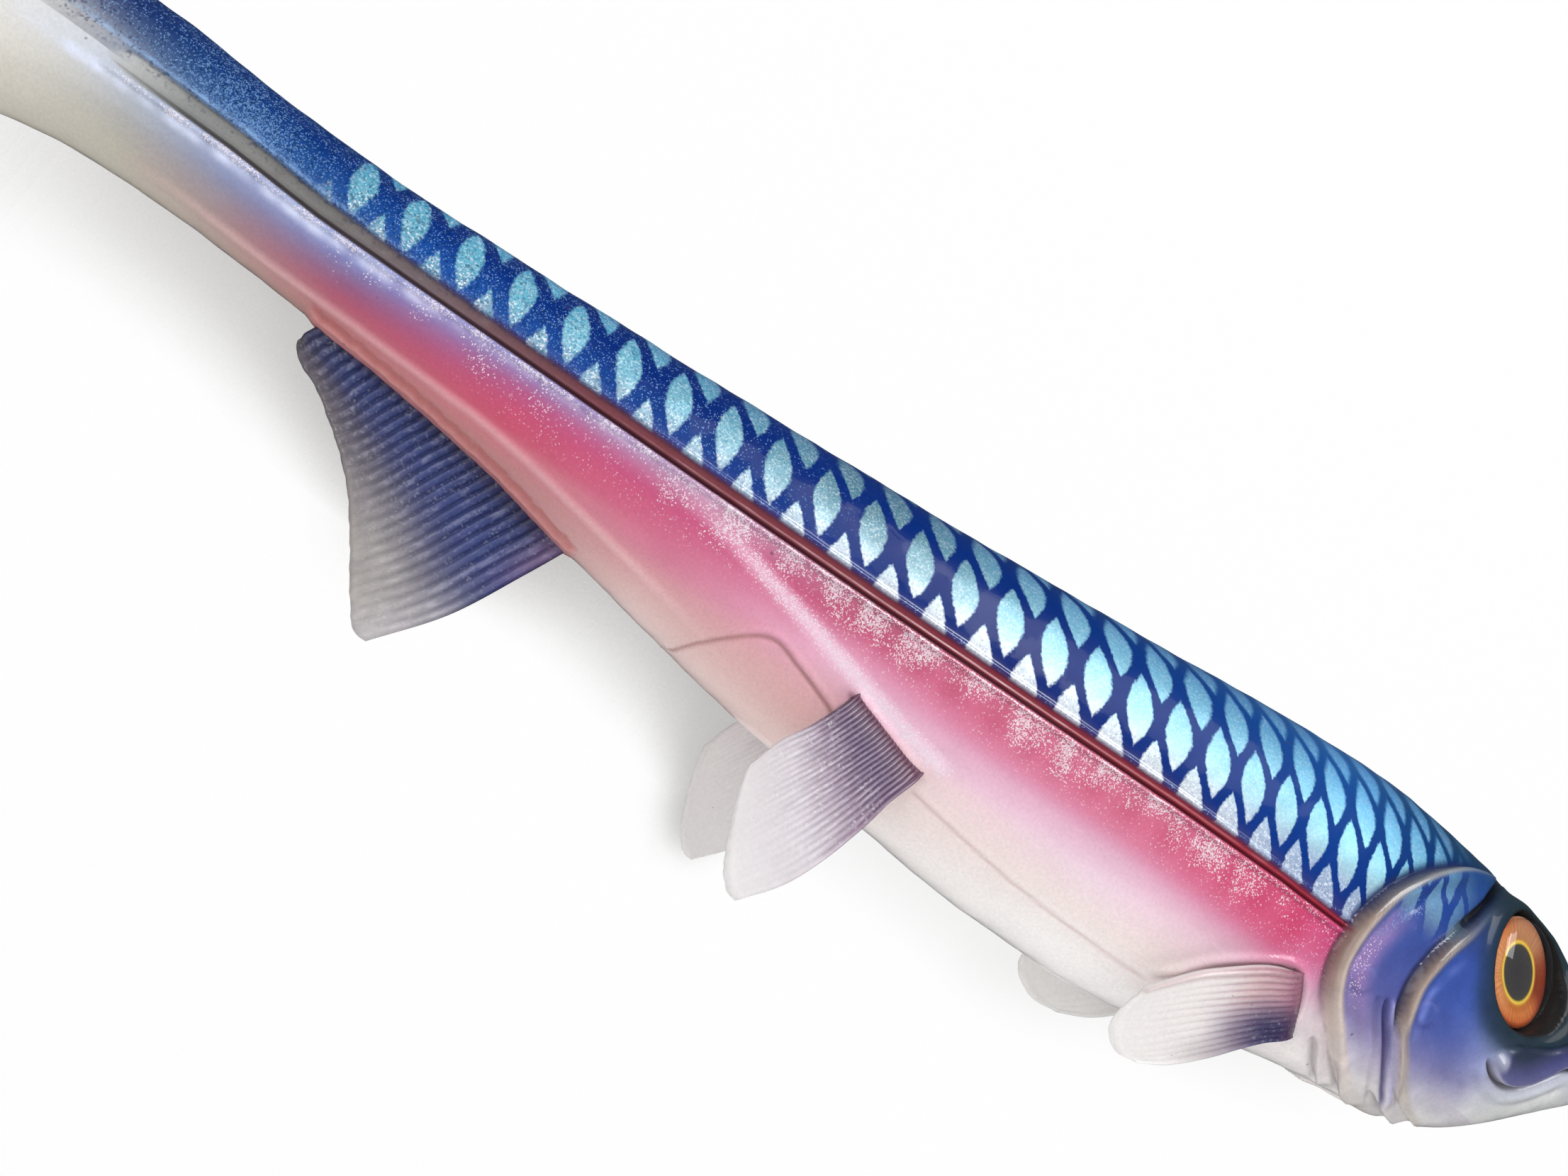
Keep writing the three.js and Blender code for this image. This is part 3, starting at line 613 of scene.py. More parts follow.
def paint_plates(side):
    x, arc, lay, gill, cheek = side.x, side.arc, side.lay, side.gill, side.cheek
    gill_env, cheek_env, fold = side.gill_env, side.cheek_env, side.fold
    cover = stops_1d(arc, GILL_COVER)
    # pinkish painted highlight on the cover a little in front of its rim
    pinkish = bump(gill - 3.2, 2.6) * ramp(-9.5, -3, arc) * ramp(7, 1, arc)
    cover = mix(cover, (178, 134, 182), 0.62 * pinkish)
    lay(cover, ramp(-0.1, 0.35, gill) * ramp(19.5, 16.5, arc))
    # the cheek turns grey-white towards the jaw
    jaw = ramp(-26, -12, x + 0.55 * (arc + 6)) * ramp(2.0, -5.0, arc)
    cheek_colour = mix(stops_1d(arc, CHEEK), (218, 218, 220), 0.82 * jaw)
    lay(cheek_colour, ramp(-0.1, 0.35, cheek) * ramp(19.5, 15.0, arc))
    # brown-grey translucent edges, with a painted highlight line along them
    edge = stops_1d(arc, PLATE_EDGE)
    wide = lerp(arc, [(-14, 2.2), (-4, 2.0), (4, 1.5), (10, 1.0), (18, 0.8)])
    gill_edge = gill_env * ramp(-0.35, 0.1, gill) * ramp(wide, wide * 0.55, gill)
    cheek_edge = cheek_env * ramp(-0.35, 0.1, cheek) * ramp(1.5, 0.75, cheek)
    lay(edge, 0.92 * gill_edge)
    lay(edge * 0.94, 0.92 * cheek_edge)
    lay((222, 214, 208), 0.42 * gill_edge * bump(gill - 0.55 * wide, 0.42))
    lay((206, 200, 196), 0.40 * cheek_edge * bump(cheek - 0.72, 0.34))
    # painted shadows just behind the rims and in the slit
    lay((72, 54, 62), 0.60 * gill_env * bump(gill + 0.25, 0.5) * ramp(-12, -2, arc))
    lay((22, 36, 84), 0.75 * gill_env * bump(gill + 0.40, 0.9) * ramp(1.0, 4.0, arc))
    lay((34, 36, 66), 0.75 * cheek_env * bump(cheek + 0.35, 0.65) * ramp(-12, -2, arc))
    lay((16, 18, 34), 0.9 * side.slit * bump(cheek + 0.55, 0.95))
    # fold between the plates: painted shade in the creases, a painted highlight on the roll
    creases = np.maximum(bump(fold, 0.5), bump(fold - 1.75, 0.5) * ramp(-0.1, -0.5, cheek))
    lay((66, 60, 124), 0.65 * side.fold_env * creases)
    lay((184, 180, 226), 0.60 * side.fold_env * bump(fold - 0.85, 0.55))
    # painted shade along the foot of each throat fold
    lay((146, 138, 140), 0.60 * side.throat)
    # broken painted highlights along the inside of both plates
    torn = np.clip(0.62 + 0.30 * np.sin(0.9 * arc + 1.3 * x) + 0.22 * np.sin(2.1 * arc - 2.3 * x),
                   0, 1)
    lay((134, 150, 222), 0.50 * torn * bump(cheek - (2.5 + 0.10 * arc), 0.95)
        * ramp(-6.5, -3.5, arc) * ramp(5.0, 1.5, arc) * (x > -36.5))
    lay((206, 158, 214), 0.40 * torn * bump(gill - 2.3, 0.7) * ramp(-5.5, -2.5, arc)
        * ramp(6.5, 3.0, arc) * (x < -34) * (x > -45.2))
    # rims of the round marks: painted highlight above, painted shade below
    for mark_x, mark_arc in MOULD_MARKS:
        rim = bump(np.hypot(x - mark_x, arc - mark_arc) - 1.4, 0.6) * (x > -45.2)
        lay((150, 146, 206), 0.30 * torn * rim * ramp(mark_arc - 1.0, mark_arc + 0.8, arc))
        lay((56, 60, 124), 0.30 * rim * ramp(mark_arc + 0.4, mark_arc - 1.2, arc))
    side.gill_edge = gill_edge


def paint_face(side):
    x, z, lay, mouth, env = side.x, side.z, side.lay, side.mouth, side.mouth_env
    radius, height, angle = eye_polar(side.surface)
    outside = height > -9
    mask = ramp(11.2, 7.2, radius + 0.9 * np.maximum(-np.cos(angle), 0))
    lay(DARK_MASK, 0.92 * np.where(outside, mask, 0))
    # painted shade deep in the slit behind the cheek rim
    lay((8, 9, 16), 0.92 * side.slit * bump(side.cheek + 0.5, 0.75))
    snout = ramp(-19, -8, x) * ramp(3.2, 7.2, z) + ramp(-30, -16, x) * ramp(15.0, 17.5, z)
    lay(DARK_MASK, 0.9 * np.clip(snout, 0, 1))
    # upper lip, its bright edge, and painted shade in the mouth line under it
    head = x > -22
    lip = stops_1d(mouth, [(0, 96, 96, 140), (1.4, 62, 62, 108), (3, 38, 46, 64)])
    lay(lip, 0.88 * head * env * ramp(-0.1, 0.3, mouth) * ramp(0.35, -0.3, side.lip))
    lay((206, 206, 218), 0.55 * head * env * bump(mouth - 0.12, 0.34))
    lay((70, 62, 66), 0.65 * head * env * bump(mouth + 0.35, 0.45))
    # lower jaw, darker towards the mouth line as painted shade under the upper lip
    lower_jaw = head * ramp(0.0, -0.9, mouth) * ramp(-20.5, -13.5, x)
    chin = stops_1d(mouth, [(-7, 228, 229, 225), (-3, 216, 219, 217), (-1.2, 190, 195, 204),
                            (0, 166, 170, 186)])
    lay(chin, 0.85 * lower_jaw * ramp(7.5, 5.5, z))
    lay((150, 152, 170), 0.85 * np.clip(side.knob * 1.4, 0, 1))
    # socket wall, painted dark as the shade in the recess round the eye
    lay((36, 34, 34), 0.95 * np.where(outside, ramp(7.15, 6.7, radius), 0))


def paint_groove(side):
    x, arc, lay, upper, lower = side.x, side.arc, side.lay, side.upper, side.lower
    lay(stops_1d(x, GROOVE_FLOOR), side.groove)
    # painted shade in the dark slit at its foot, violet along its upper edge
    slit = side.groove_env * bump(arc - (lower + 0.20), 0.30)
    slit_colour = stops_1d(x, [(-180, 82, 72, 76), (-140, 62, 38, 50), (-45, 92, 26, 44)])
    lay(slit_colour, 0.75 * slit * ramp(-192, -178, x))
    lay((84, 62, 120), 0.55 * side.groove_env * bump(arc - (upper + 0.1), 0.42)
        * ramp(-180, -150, x))
    # broken painted highlights, pearly in tone, on the lips along the wrist
    mottle = np.clip(0.62 + 0.30 * np.sin(0.83 * x + 1.9 * np.sin(0.31 * x))
                     + 0.20 * np.sin(2.3 * x + 1.1 * arc), 0, 1)
    lay((216, 224, 246), 0.80 * mottle * bump(arc - (lower - 0.95), 1.0)
        * ramp(-206, -195, x) * ramp(-148, -166, x))
    lay((226, 214, 240), 0.42 * mottle * bump(arc - (lower - 0.75), 0.7)
        * ramp(-170, -158, x) * ramp(-118, -134, x))
    lay((158, 190, 228), 0.62 * mottle * bump(arc - (upper + 0.38), 0.46)
        * ramp(-205, -196, x) * ramp(-168, -178, x))


def place_cells(side):
    """cover and colour of the printed scale cells"""
    x, arc, gill = side.x, side.arc, side.gill
    on_gill = (ramp(3.2, 7.0, arc) * ramp(14.5, 11.0, arc) * (1 - side.gill_edge)
               * ramp(0.5, -0.2, side.cheek) * ramp(-29.0, -35.0, x) * 0.40)
    on_body = ramp(-30.0, -37.0, x) * np.where(x > -50, ramp(-0.25, -1.5, gill), 1.0)
    cell = ramp(-173.5, -169.5, x) * (1 - side.groove) * np.where(gill > 0, on_gill, on_body)
    cell = cell * ramp(-0.55, 0.35, arc - side.upper) * ramp(0.0, -2.5, side.from_back)
    side.cell = cell * lerp(arc, [(0, 1), (8, 1), (12, 0.95), (16, 0.72), (20, 0.38), (25, 0)])
    colour = mix(stops_1d(arc, CELLS_TAIL), stops_1d(arc, CELLS_HEAD), ramp(-165, -95, x))
    # darker round x = -110, lighter behind the gill
    light = (1 - 0.30 * np.exp(-((x + 110) / 17.0) ** 2) * ramp(3.0, 5.5, arc)
             + 0.20 * np.exp(-((x + 47) / 9.0) ** 2) * ramp(5.0, 8.0, arc))
    side.cell_paint = mix(colour * light[..., None], (128, 152, 192),
                          0.70 * ramp(-70, -50, x) * ramp(6.0, 3.0, arc))


def place_glitter(side):
    """density of the loose flakes"""
    x, arc, upper, lower = side.x, side.arc, side.upper, side.lower
    # upright tufts under the groove
    tuft = np.clip(0.50 + 0.42 * np.sin(1.07 * x + 1.3 * np.sin(0.23 * x) + 0.22 * arc)
                   + 0.26 * np.sin(2.6 * x + 2.0 * np.sin(0.41 * x) + 0.5 * arc), 0, 1)
    reach = 3.3 + 1.0 * np.sin(0.29 * x) + 0.7 * np.sin(0.87 * x + 1.0)
    along = 0.22 * ramp(-178, -150, x) + 0.78 * ramp(-138, -112, x) * ramp(-50, -64, x)
    under = ((0.18 + 0.82 * tuft) * ramp(-reach - 1.4, -reach + 1.6, arc)
             * ramp(-0.55, -0.95, arc) * along)
    # thin scatter below, thick on the streak of pearl paint and painted highlight
    scatter = 0.05 * ramp(-9.0, -5.0, arc) * ramp(-0.6, -1.2, arc) * ramp(-165, -140, x)
    scatter = np.maximum(scatter, 0.55 * side.streak)
    # a bright line of flakes on each lip of the groove, partly real glitter and partly a painted
    # highlight
    low_lip = (bump(arc - (lower - 0.42), 0.62) * ramp(-197, -186, x)
               * (0.45 + 0.55 * ramp(-88, -128, x)))
    low_lip = low_lip * (0.55 + 0.45 * np.sin(0.9 * x + 1.7 * np.sin(0.37 * x)))
    high_lip = (bump(arc - (upper + 0.32), 0.42) * ramp(-198, -190, x)
                * (0.75 * ramp(-150, -172, x) + 0.25))
    # a cloud over the wrist's blue
    cloud = (0.62 * np.exp(-((x + 180.5) / 5.5) ** 2) * ramp(7.5, 2.2, arc)
             + 0.30 * np.exp(-((x + 186) / 10.0) ** 2)) * (arc > 1.3)
    above = np.maximum(np.maximum(high_lip, cloud), 0.17 * ramp(-95, -155, x))
    on_body = np.where(arc < 0, np.maximum(np.maximum(under, scatter), low_lip),
                       np.where(arc > upper, above, 0.0))
    on_gill = (0.22 * bump(side.gill - 2.8, 1.7) * ramp(-8.0, -3.0, arc) * ramp(9, 4, arc)
               * (x < -34))
    body = (x < -44) | (side.gill < 0)
    side.glitter = np.where(body, on_body, on_gill) * (1 - side.groove)


def place_gloss(side):
    """wet gloss, dulled over the blue back, round the eye, on the snout and on the crown"""
    x, arc = side.x, side.arc
    gloss = 1 - (0.86 * ramp(1.5, 2.2, arc) * np.where(x > -45, ramp(0.2, -0.2, side.gill), 1.0)
                 * ramp(-214, -202, x))
    radius = eye_polar(side.surface)[0]
    face = np.maximum(ramp(11.0, 7.5, radius), ramp(-16, -10, x) * ramp(3.0, 7.0, side.z))
    gloss = gloss * (1 - 0.80 * np.where(x > -33, face, 0.0))
    side.gloss = gloss * (1 - 0.85 * np.where(x > -40, ramp(11.0, 14.0, arc), 0.0))


# x of each cell of the main row, with six more towards the tail and eight towards the nose
ROW_CELLS = [-169.6, -163.6, -157.3, -151.3, -145, -138.8, -132.8, -126.8, -120.9, -115, -109.4,
             -103.6, -98.1, -92.5, -86.9, -81.4, -75.9, -70.9, -65.6, -60.9, -56.4, -52, -47.6,
             -43.4]
TAIL_EXTRA, NOSE_EXTRA = 6, 8
CELL_X = np.array([ROW_CELLS[0] - 6.1 * i for i in range(TAIL_EXTRA, 0, -1)] + ROW_CELLS
                  + [ROW_CELLS[-1] + 3.9 * i for i in range(1, NOSE_EXTRA + 1)])
ROW_PITCH = 5.85


def cell_coords(x, arc):
    """lattice place: whole columns are main-row cells; rows count upward from the main row"""
    main_row = lerp(x, [(-200, 5.1), (-165, 5.2), (-120, 5.5), (-90, 6.25), (-43, 6.4), (0, 6.4)])
    slant = lerp(x, [(-170, 0.20), (-140, 0.24), (-90, 0.28), (-45, 0.26)])
    rise = arc - main_row
    slid = x + slant * rise + 0.006 * rise * np.abs(rise)
    return np.interp(slid, CELL_X, np.arange(len(CELL_X)) - float(TAIL_EXTRA)), rise / ROW_PITCH


def casting():
    """the casting's rings without the paddle, and their attributes"""
    x, y, z, arc = half_grid()
    side = Side(x=x, y=y, z=z, arc=arc, height=np.zeros(x.shape), from_back=arc - arc[:, -1:])
    for shape in (raise_plates, cut_groove, raise_fin_roots, raise_seams, raise_mouth,
                  add_unevenness):
        shape(side)
    plain = close_rings(np.stack([x, -y, z], axis=-1))
    moulded = plain + grid_normals(plain) * mirror(side.height)[..., None]
    side.surface = sink_socket(moulded[:, :TOP_COLUMN + 1])
    side.surface[:, (0, TOP_COLUMN), 1] = 0
    for coat in (paint_flank, paint_plates, paint_face, paint_groove, place_cells, place_glitter,
                 place_gloss):
        coat(side)
    columns, rows = cell_coords(x, arc)
    cell_paint = np.concatenate([linear(side.cell_paint), side.cell[..., None]], axis=-1)
    fields = {
        "paint": opaque(linear(side.paint)),
        "cell_paint": cell_paint,
        "lattice": np.stack([columns, rows, side.glitter], axis=-1),
        "wrap": np.stack([x, arc, side.gloss], axis=-1),
    }
    return close_rings(side.surface), {key: mirror(values) for key, values in fields.items()}


# ------------------------------------------------------------------ paddle
PADDLE_CENTRE = np.array([-224.0, 0.0, -6.0])
PADDLE_HALF_HEIGHT, PADDLE_HALF_WIDTH, PADDLE_HALF_THICK = 17.0, 13.5, 2.8
PADDLE_LEAN = math.radians(14)
PADDLE_UP = np.array([math.sin(PADDLE_LEAN), 0, math.cos(PADDLE_LEAN)])
PADDLE_FORWARD = np.array([math.cos(PADDLE_LEAN), 0, -math.sin(PADDLE_LEAN)])
NECK_SHARE, RIM_SHARE = 0.60, 0.88      # of the paddle's radius: neck's foot, start of the rim
REAR_HALF_THICK, REAR_DISH = PADDLE_HALF_THICK - 0.4, 0.9


def paddle_rings(skin, fields):
    """the neck, front face, round rim and slightly dished rear face, with their attributes"""
    last = skin[-1]
    top, bottom = last[:, 2].max(), last[:, 2].min()
    half, middle = np.abs(last[:, 1]).max(), 0.5 * (top + bottom)
    angle = np.arctan2((last[:, 2] - middle) / (0.5 * (top - bottom)), -last[:, 1] / half)
    outline = (np.outer(np.sin(angle) * PADDLE_HALF_HEIGHT, PADDLE_UP)
               + np.outer(-np.cos(angle) * PADDLE_HALF_WIDTH, (0, 1, 0)))

    def disc(share, height):
        return PADDLE_CENTRE + outline * share + height * PADDLE_FORWARD

    def front_height(share):
        return PADDLE_HALF_THICK * (1 - 0.35 * (share - NECK_SHARE) ** 2)

    rings = []
    target = disc(NECK_SHARE, PADDLE_HALF_THICK)
    back = last - skin[-3]
    back = back / np.linalg.norm(back, axis=1, keepdims=True)
    leave = last + back * np.linalg.norm(target - last, axis=1, keepdims=True) * 0.55
    arrive = target - outline * 0.16
    for t in np.linspace(0, 1, 23)[1:]:
        rings.append(last * (1 - t) ** 3 + 3 * leave * t * (1 - t) ** 2
                     + 3 * arrive * t * t * (1 - t) + target * t ** 3)
    for share in (0.64, 0.68, 0.72, 0.76, 0.80, 0.84, RIM_SHARE):
        rings.append(disc(share, front_height(share)))
    for degrees in np.linspace(0, 180, 19)[1:]:
        turn = math.radians(degrees)
        reach = front_height(RIM_SHARE) if degrees <= 90 else REAR_HALF_THICK
        rings.append(disc(RIM_SHARE + (1 - RIM_SHARE) * math.sin(turn), reach * math.cos(turn)))
    for share in (0.85, 0.80, 0.74, 0.66, 0.58, 0.5, 0.42, 0.34, 0.26, 0.18, 0.11, 0.05, 0.015):
        rings.append(disc(share, -REAR_HALF_THICK + REAR_DISH * (1 - (share / RIM_SHARE) ** 2)))
    rings = np.array(rings)

    # the paint runs over 30 rings into pearl, bluer towards the top
    top_blue = ramp(0.35, 1.05, (rings[..., 2] - PADDLE_CENTRE[2]) / PADDLE_HALF_HEIGHT)[..., None]
    t = np.clip(np.arange(len(rings)) / 30.0, 0, 1)[:, None, None]
    pearl, blue = linear((226, 224, 218)), linear((120, 134, 178))
    rgb = (fields["paint"][-1][None, :, :3] * (1 - t)
           + (pearl * (1 - top_blue * 0.85) + blue * top_blue * 0.85) * t)
    zero = np.zeros(rings.shape[:2])
    arc = zero + fields["wrap"][-1, :, 1]
    return rings, {
        "paint": opaque(rgb),
        "cell_paint": np.zeros(zero.shape + (4,)),
        "lattice": np.stack([zero, zero, zero + 0.12], axis=-1),     # a little glitter
        "wrap": np.stack([rings[..., 0], arc, zero + 1], axis=-1),   # full gloss
    }


# ------------------------------------------------------------------ materials
def arithmetic(operation, swapped=False):
    def apply(self, other):
        pair = (other, self) if swapped else (self, other)
        return self.shader.math(operation, *pair)
    return apply


class Signal:
    """an output socket; arithmetic on it adds Math nodes"""

    def __init__(self, shader, socket):
        self.shader, self.socket = shader, socket

    __add__, __radd__ = arithmetic("ADD"), arithmetic("ADD", swapped=True)
    __sub__, __rsub__ = arithmetic("SUBTRACT"), arithmetic("SUBTRACT", swapped=True)
    __mul__, __rmul__ = arithmetic("MULTIPLY"), arithmetic("MULTIPLY", swapped=True)
    __truediv__, __pow__ = arithmetic("DIVIDE"), arithmetic("POWER")

    def __abs__(self):
        return self.shader.math("ABSOLUTE", self)


class Shader:
    """builds a node material; its patterns stay put when the piece bends, unless at_rest is off"""

    def __init__(self, name, at_rest=True):
        self.material = bpy.data.materials.new(name)
        self.material.use_nodes = True
        self.tree = self.material.node_tree
        self.tree.nodes.clear()
        self.surface = self.tree.nodes.new("ShaderNodeOutputMaterial").inputs["Surface"]
        self.place = self.attr("rest_place", "Vector") if at_rest else None

    def put(self, socket, value):
        if isinstance(value, Signal):
            self.tree.links.new(value.socket, socket)
        else:
            socket.default_value = (*value, 1) if socket.type == "RGBA" else value

    def add(self, kind, *outputs, inputs=None, **settings):
        """adds a node; returns its first output, the one named, or a list of those named"""
        node = self.tree.nodes.new("ShaderNode" + kind)
        for key, value in settings.items():
            setattr(node, key, value)
        for key, value in (inputs or {}).items():
            self.put(node.inputs[key], value)
        signals = [Signal(self, node.outputs[key]) for key in outputs or (0,)]
        return signals if len(signals) > 1 else signals[0]

    def math(self, operation, *values):
        return self.add("Math", inputs=dict(enumerate(values)), operation=operation)

    def ramp(self, start, end, value):
        return self.add("MapRange", "Result", interpolation_type="SMOOTHSTEP",
                        inputs={"Value": value, "From Min": start, "From Max": end})

    def mix(self, below, above, amount, blend="MIX"):
        return self.add("Mix", 2, data_type="RGBA", blend_type=blend,
                        inputs={0: amount, 6: below, 7: above})

    def mottle(self, colour, dark, light, pattern, amount):
        return self.mix(colour, self.mix(dark, light, pattern), amount, "MULTIPLY")

    def attr(self, name, output="Color"):
        return self.add("Attribute", output, attribute_name=name)

    def split(self, vector):
        return self.add("SeparateXYZ", 0, 1, 2, inputs={0: vector})

    def noise(self, scale, detail=2.0, rough=0.5, place=None, output=0):
        inputs = {"Scale": scale, "Detail": detail, "Roughness": rough}
        place = place or self.place
        if place:
            inputs["Vector"] = place
        return self.add("TexNoise", output, inputs=inputs)

    def voronoi(self, scale, *outputs):
        return self.add("TexVoronoi", *outputs, inputs={"Scale": scale, "Vector": self.place})

    def flakes(self, scale):
        """three random values for each small cell"""
        return self.split(self.voronoi(scale, "Color"))

    def bump(self, height, strength, distance):
        return self.add("Bump", "Normal", inputs={
            "Height": height, "Strength": strength, "Distance": distance})

    def principled(self, **values):
        return self.add("BsdfPrincipled", inputs={
            key.replace("_", " "): value for key, value in values.items()})

    def blend(self, first, second, amount):
        return self.add("MixShader", inputs={0: amount, 1: first, 2: second})

    def finish(self, shader):
        self.put(self.surface, shader)
        return self.material


def skin_material():
    mat = Shader("glossy_soft_skin")
    ramp = mat.ramp
    base = mat.attr("paint")
    cell_colour, cell_cover = mat.add("Attribute", "Color", "Alpha", attribute_name="cell_paint")
    column, row, glitter = mat.split(mat.attr("lattice", "Vector"))
    wobble = mat.split(mat.noise(scale=420, output=1))
    wavy_column = column + (wobble[0] - 0.5) * 0.085
    wavy_row = row + (wobble[1] - 0.5) * 0.07
    grain = mat.noise(scale=2600, detail=1)
    half_width = 0.235 + ramp(0, 20, column) * 0.105
    half_height = 0.715 + ramp(0, 16, column) * -0.045

    def leaf_cells(between):
        """leaf shapes on every second row, on the columns or between them"""
        if between:
            centre = mat.math("FLOOR", wavy_column) + 0.5
            centre_row = mat.math("FLOOR", wavy_row * 0.5) * 2.0 + 1.0
        else:
            centre = mat.math("ROUND", wavy_column)
            centre_row = mat.math("ROUND", wavy_row * 0.5) * 2.0
        off = abs(wavy_column - centre)
        off_row = abs((wavy_row - centre_row) / half_height)
        inside = (1.0 - off_row ** 1.75) * half_width - off
        soft = ramp(0.4, 2.2, row) * 0.12
        return ramp(-0.018 - soft * 0.4, 0.045 + soft, inside + (grain - 0.5) * 0.09)

    odd = leaf_cells(between=True)
    leaf = mat.math("MAXIMUM", leaf_cells(between=False), odd) * cell_cover
    # sparkle in the cells: white flakes, grey ones near the groove, deep blue ones at the tail
    flake = mat.flakes(5600)
    spark = ramp(0.50, 1.0, flake[0])
    headward = ramp(2.0, 16.0, column)
    near_groove = ramp(4.6, 2.4, mat.split(mat.attr("wrap", "Vector"))[1])
    cells = mat.mix(cell_colour, (0.93, 0.97, 1),
                    spark * (0.34 - headward * 0.19 + near_groove * 0.45))
    cells = mat.mix(cells, (0.20, 0.24, 0.34), ramp(0.70, 0.95, flake[2]) * (near_groove * 0.42))
    cells = mat.mix(cells, (0.01, 0.13, 0.30),
                    ramp(0.55, 0.98, flake[1]) * (0.55 - headward * 0.45))
    colour = mat.mix(base, cells, leaf)
    # loose flakes, a share of tiny cells: pearl below the groove, pale blue above it
    x, arc, gloss = mat.split(mat.attr("wrap", "Vector"))
    above = ramp(0.0, 1.2, arc)
    tiny = mat.flakes(8200)
    drift = (mat.noise(scale=260, detail=3, rough=0.6) - 0.5) * 0.7
    share = glitter * 0.74 + drift * glitter
    loose = ramp(share + 0.03, share - 0.03, tiny[2])
    loose = loose * (1.0 - leaf) * ramp(0.0, 0.08, glitter)
    flake_colour = mat.mix((0.90, 0.82, 0.88), (0.24, 0.44, 0.74), above)
    colour = mat.mix(colour, flake_colour, loose * (1.0 - above * 0.34) * (0.42 + tiny[0] * 0.50))
    # sprayed grain, stronger and pitted on the tail's blue
    fine = mat.noise(scale=3000, rough=0.6)
    tail = above * ramp(-110, -165, x)
    colour = mat.mottle(colour, (0.66, 0.66, 0.68), (1.32, 1.32, 1.30), fine, 0.40 + tail * 0.50)
    pits = mat.flakes(3600)
    colour = mat.mix(colour, (0.0, 0.015, 0.07), ramp(0.78, 0.92, pits[0]) * (tail * 0.50))
    # streaks on the gill plates, then broad patches everywhere
    plates = ramp(-44.5, -42.0, x)
    smear = mat.noise(scale=330, detail=4, rough=0.68)
    colour = mat.mottle(colour, (0.50, 0.50, 0.56), (1.55, 1.52, 1.42), smear, plates * 0.55)
    colour = mat.mottle(colour, (0.88, 0.88, 0.90), (1.08, 1.07, 1.07),
                        mat.noise(scale=60, detail=3), 0.75)
    # a few dark specks of dust
    chance, distance = mat.voronoi(260, "Color", "Distance")
    speck = ramp(0.066, 0.030, distance) * ramp(0.62, 0.64, mat.split(chance)[0])
    colour = mat.mix(colour, (0.06, 0.03, 0.06), speck * 0.55)
    height = mat.noise(scale=900, detail=3) * 0.55 + mat.noise(scale=4200, detail=1) * 0.22
    height = height + flake[1] * (glitter * 0.22) + leaf * 0.10
    return mat.finish(mat.principled(
        Base_Color=colour,
        Roughness=0.24 + mat.noise(scale=160, detail=3) * 0.16,
        Metallic=mat.math("MAXIMUM", leaf, loose) * 0.15,
        Normal=mat.bump(height, strength=0.40, distance=0.00012),
        IOR=1.42,
        Specular_IOR_Level=0.05 + gloss * 0.23,
        Coat_Weight=gloss * 0.75,
        Coat_Roughness=0.055,
        Coat_IOR=1.45,
        Coat_Normal=mat.bump(mat.noise(scale=700), strength=0.22, distance=0.0001)))


def fin_material():
    mat = Shader("translucent_fin")
    base = mat.attr("paint")
    ray, clear, glitter = mat.split(mat.attr("fin_look", "Vector"))
    flake = mat.flakes(4200)
    colour = mat.mottle(base, (0.80, 0.80, 0.84), (1.12, 1.1, 1.1), mat.noise(scale=2600), 0.55)
    streak = mat.noise(scale=700, detail=3, rough=0.65)
    across, out, strength = mat.split(mat.attr("fin_uv", "Vector"))
    lane = mat.add("CombineXYZ", inputs={0: across, 1: out * 5.0})
    strand = mat.noise(scale=1.15, detail=3, rough=0.65, place=lane)
    colour = mat.mottle(colour, (0.52, 0.52, 0.56), (1.5, 1.48, 1.45), strand, strength * 0.85)
    # long broken painted glints that follow the rays, then single flakes, then dust
    spark = mat.ramp(0.66, 0.98, flake[0] * 0.55 + streak * 0.5) * glitter
    glint = (mat.ramp(0.50, 0.66, strand) * mat.ramp(0.45, 0.95, ray)
             * mat.math("MINIMUM", glitter, 1.0))
    colour = mat.mix(colour, (0.90, 0.90, 0.96), glint * strength * 0.50)
    colour = mat.mix(colour, (0.95, 0.95, 0.97), spark * 0.75)
    dust = mat.ramp(0.045, 0.02, mat.voronoi(330, "Distance")) * 1.0
    colour = mat.mix(colour, (0.10, 0.06, 0.08), dust * 0.45)
    normal = mat.bump(mat.noise(scale=1300, detail=3) * 0.8 + flake[1] * 0.3,
                      strength=0.45, distance=0.00014)
    solid = mat.principled(Base_Color=colour, Roughness=0.26, Normal=normal, IOR=1.45,
                           Coat_Weight=0.5, Coat_Roughness=0.12, Coat_Normal=normal)
    glow = mat.add("BsdfTranslucent", inputs={"Color": colour})
    film = mat.add("BsdfTransparent", inputs={"Color": (0.93, 0.92, 0.92)})
    return mat.finish(mat.blend(mat.blend(solid, glow, 0.30), film, clear))


def foil_material():
    mat = Shader("printed_eye_foil")
    colour = mat.mottle(mat.attr("paint"), (0.72, 0.70, 0.70), (1.25, 1.2, 1.15),
                        mat.noise(scale=1500, detail=3), 0.6)
    normal = mat.bump(mat.noise(scale=2400), strength=0.25, distance=0.0001)
    return mat.finish(mat.principled(Base_Color=colour, Roughness=0.32, Metallic=0.25,
                                     Normal=normal))


def lens_material():
    mat = Shader("clear_lens")
    normal = mat.bump(mat.noise(scale=350, detail=1), strength=0.10, distance=0.00008)
    gloss = mat.add("BsdfGlossy", inputs={"Roughness": 0.035, "Normal": normal})
    clear = mat.add("BsdfTransparent", inputs={"Color": (0.985, 0.98, 0.97)})
    fresnel = mat.add("Fresnel", inputs={"IOR": 1.5, "Normal": normal})
    backfacing = mat.add("NewGeometry", "Backfacing")
    return mat.finish(mat.blend(clear, gloss, fresnel * (1.0 - backfacing)))


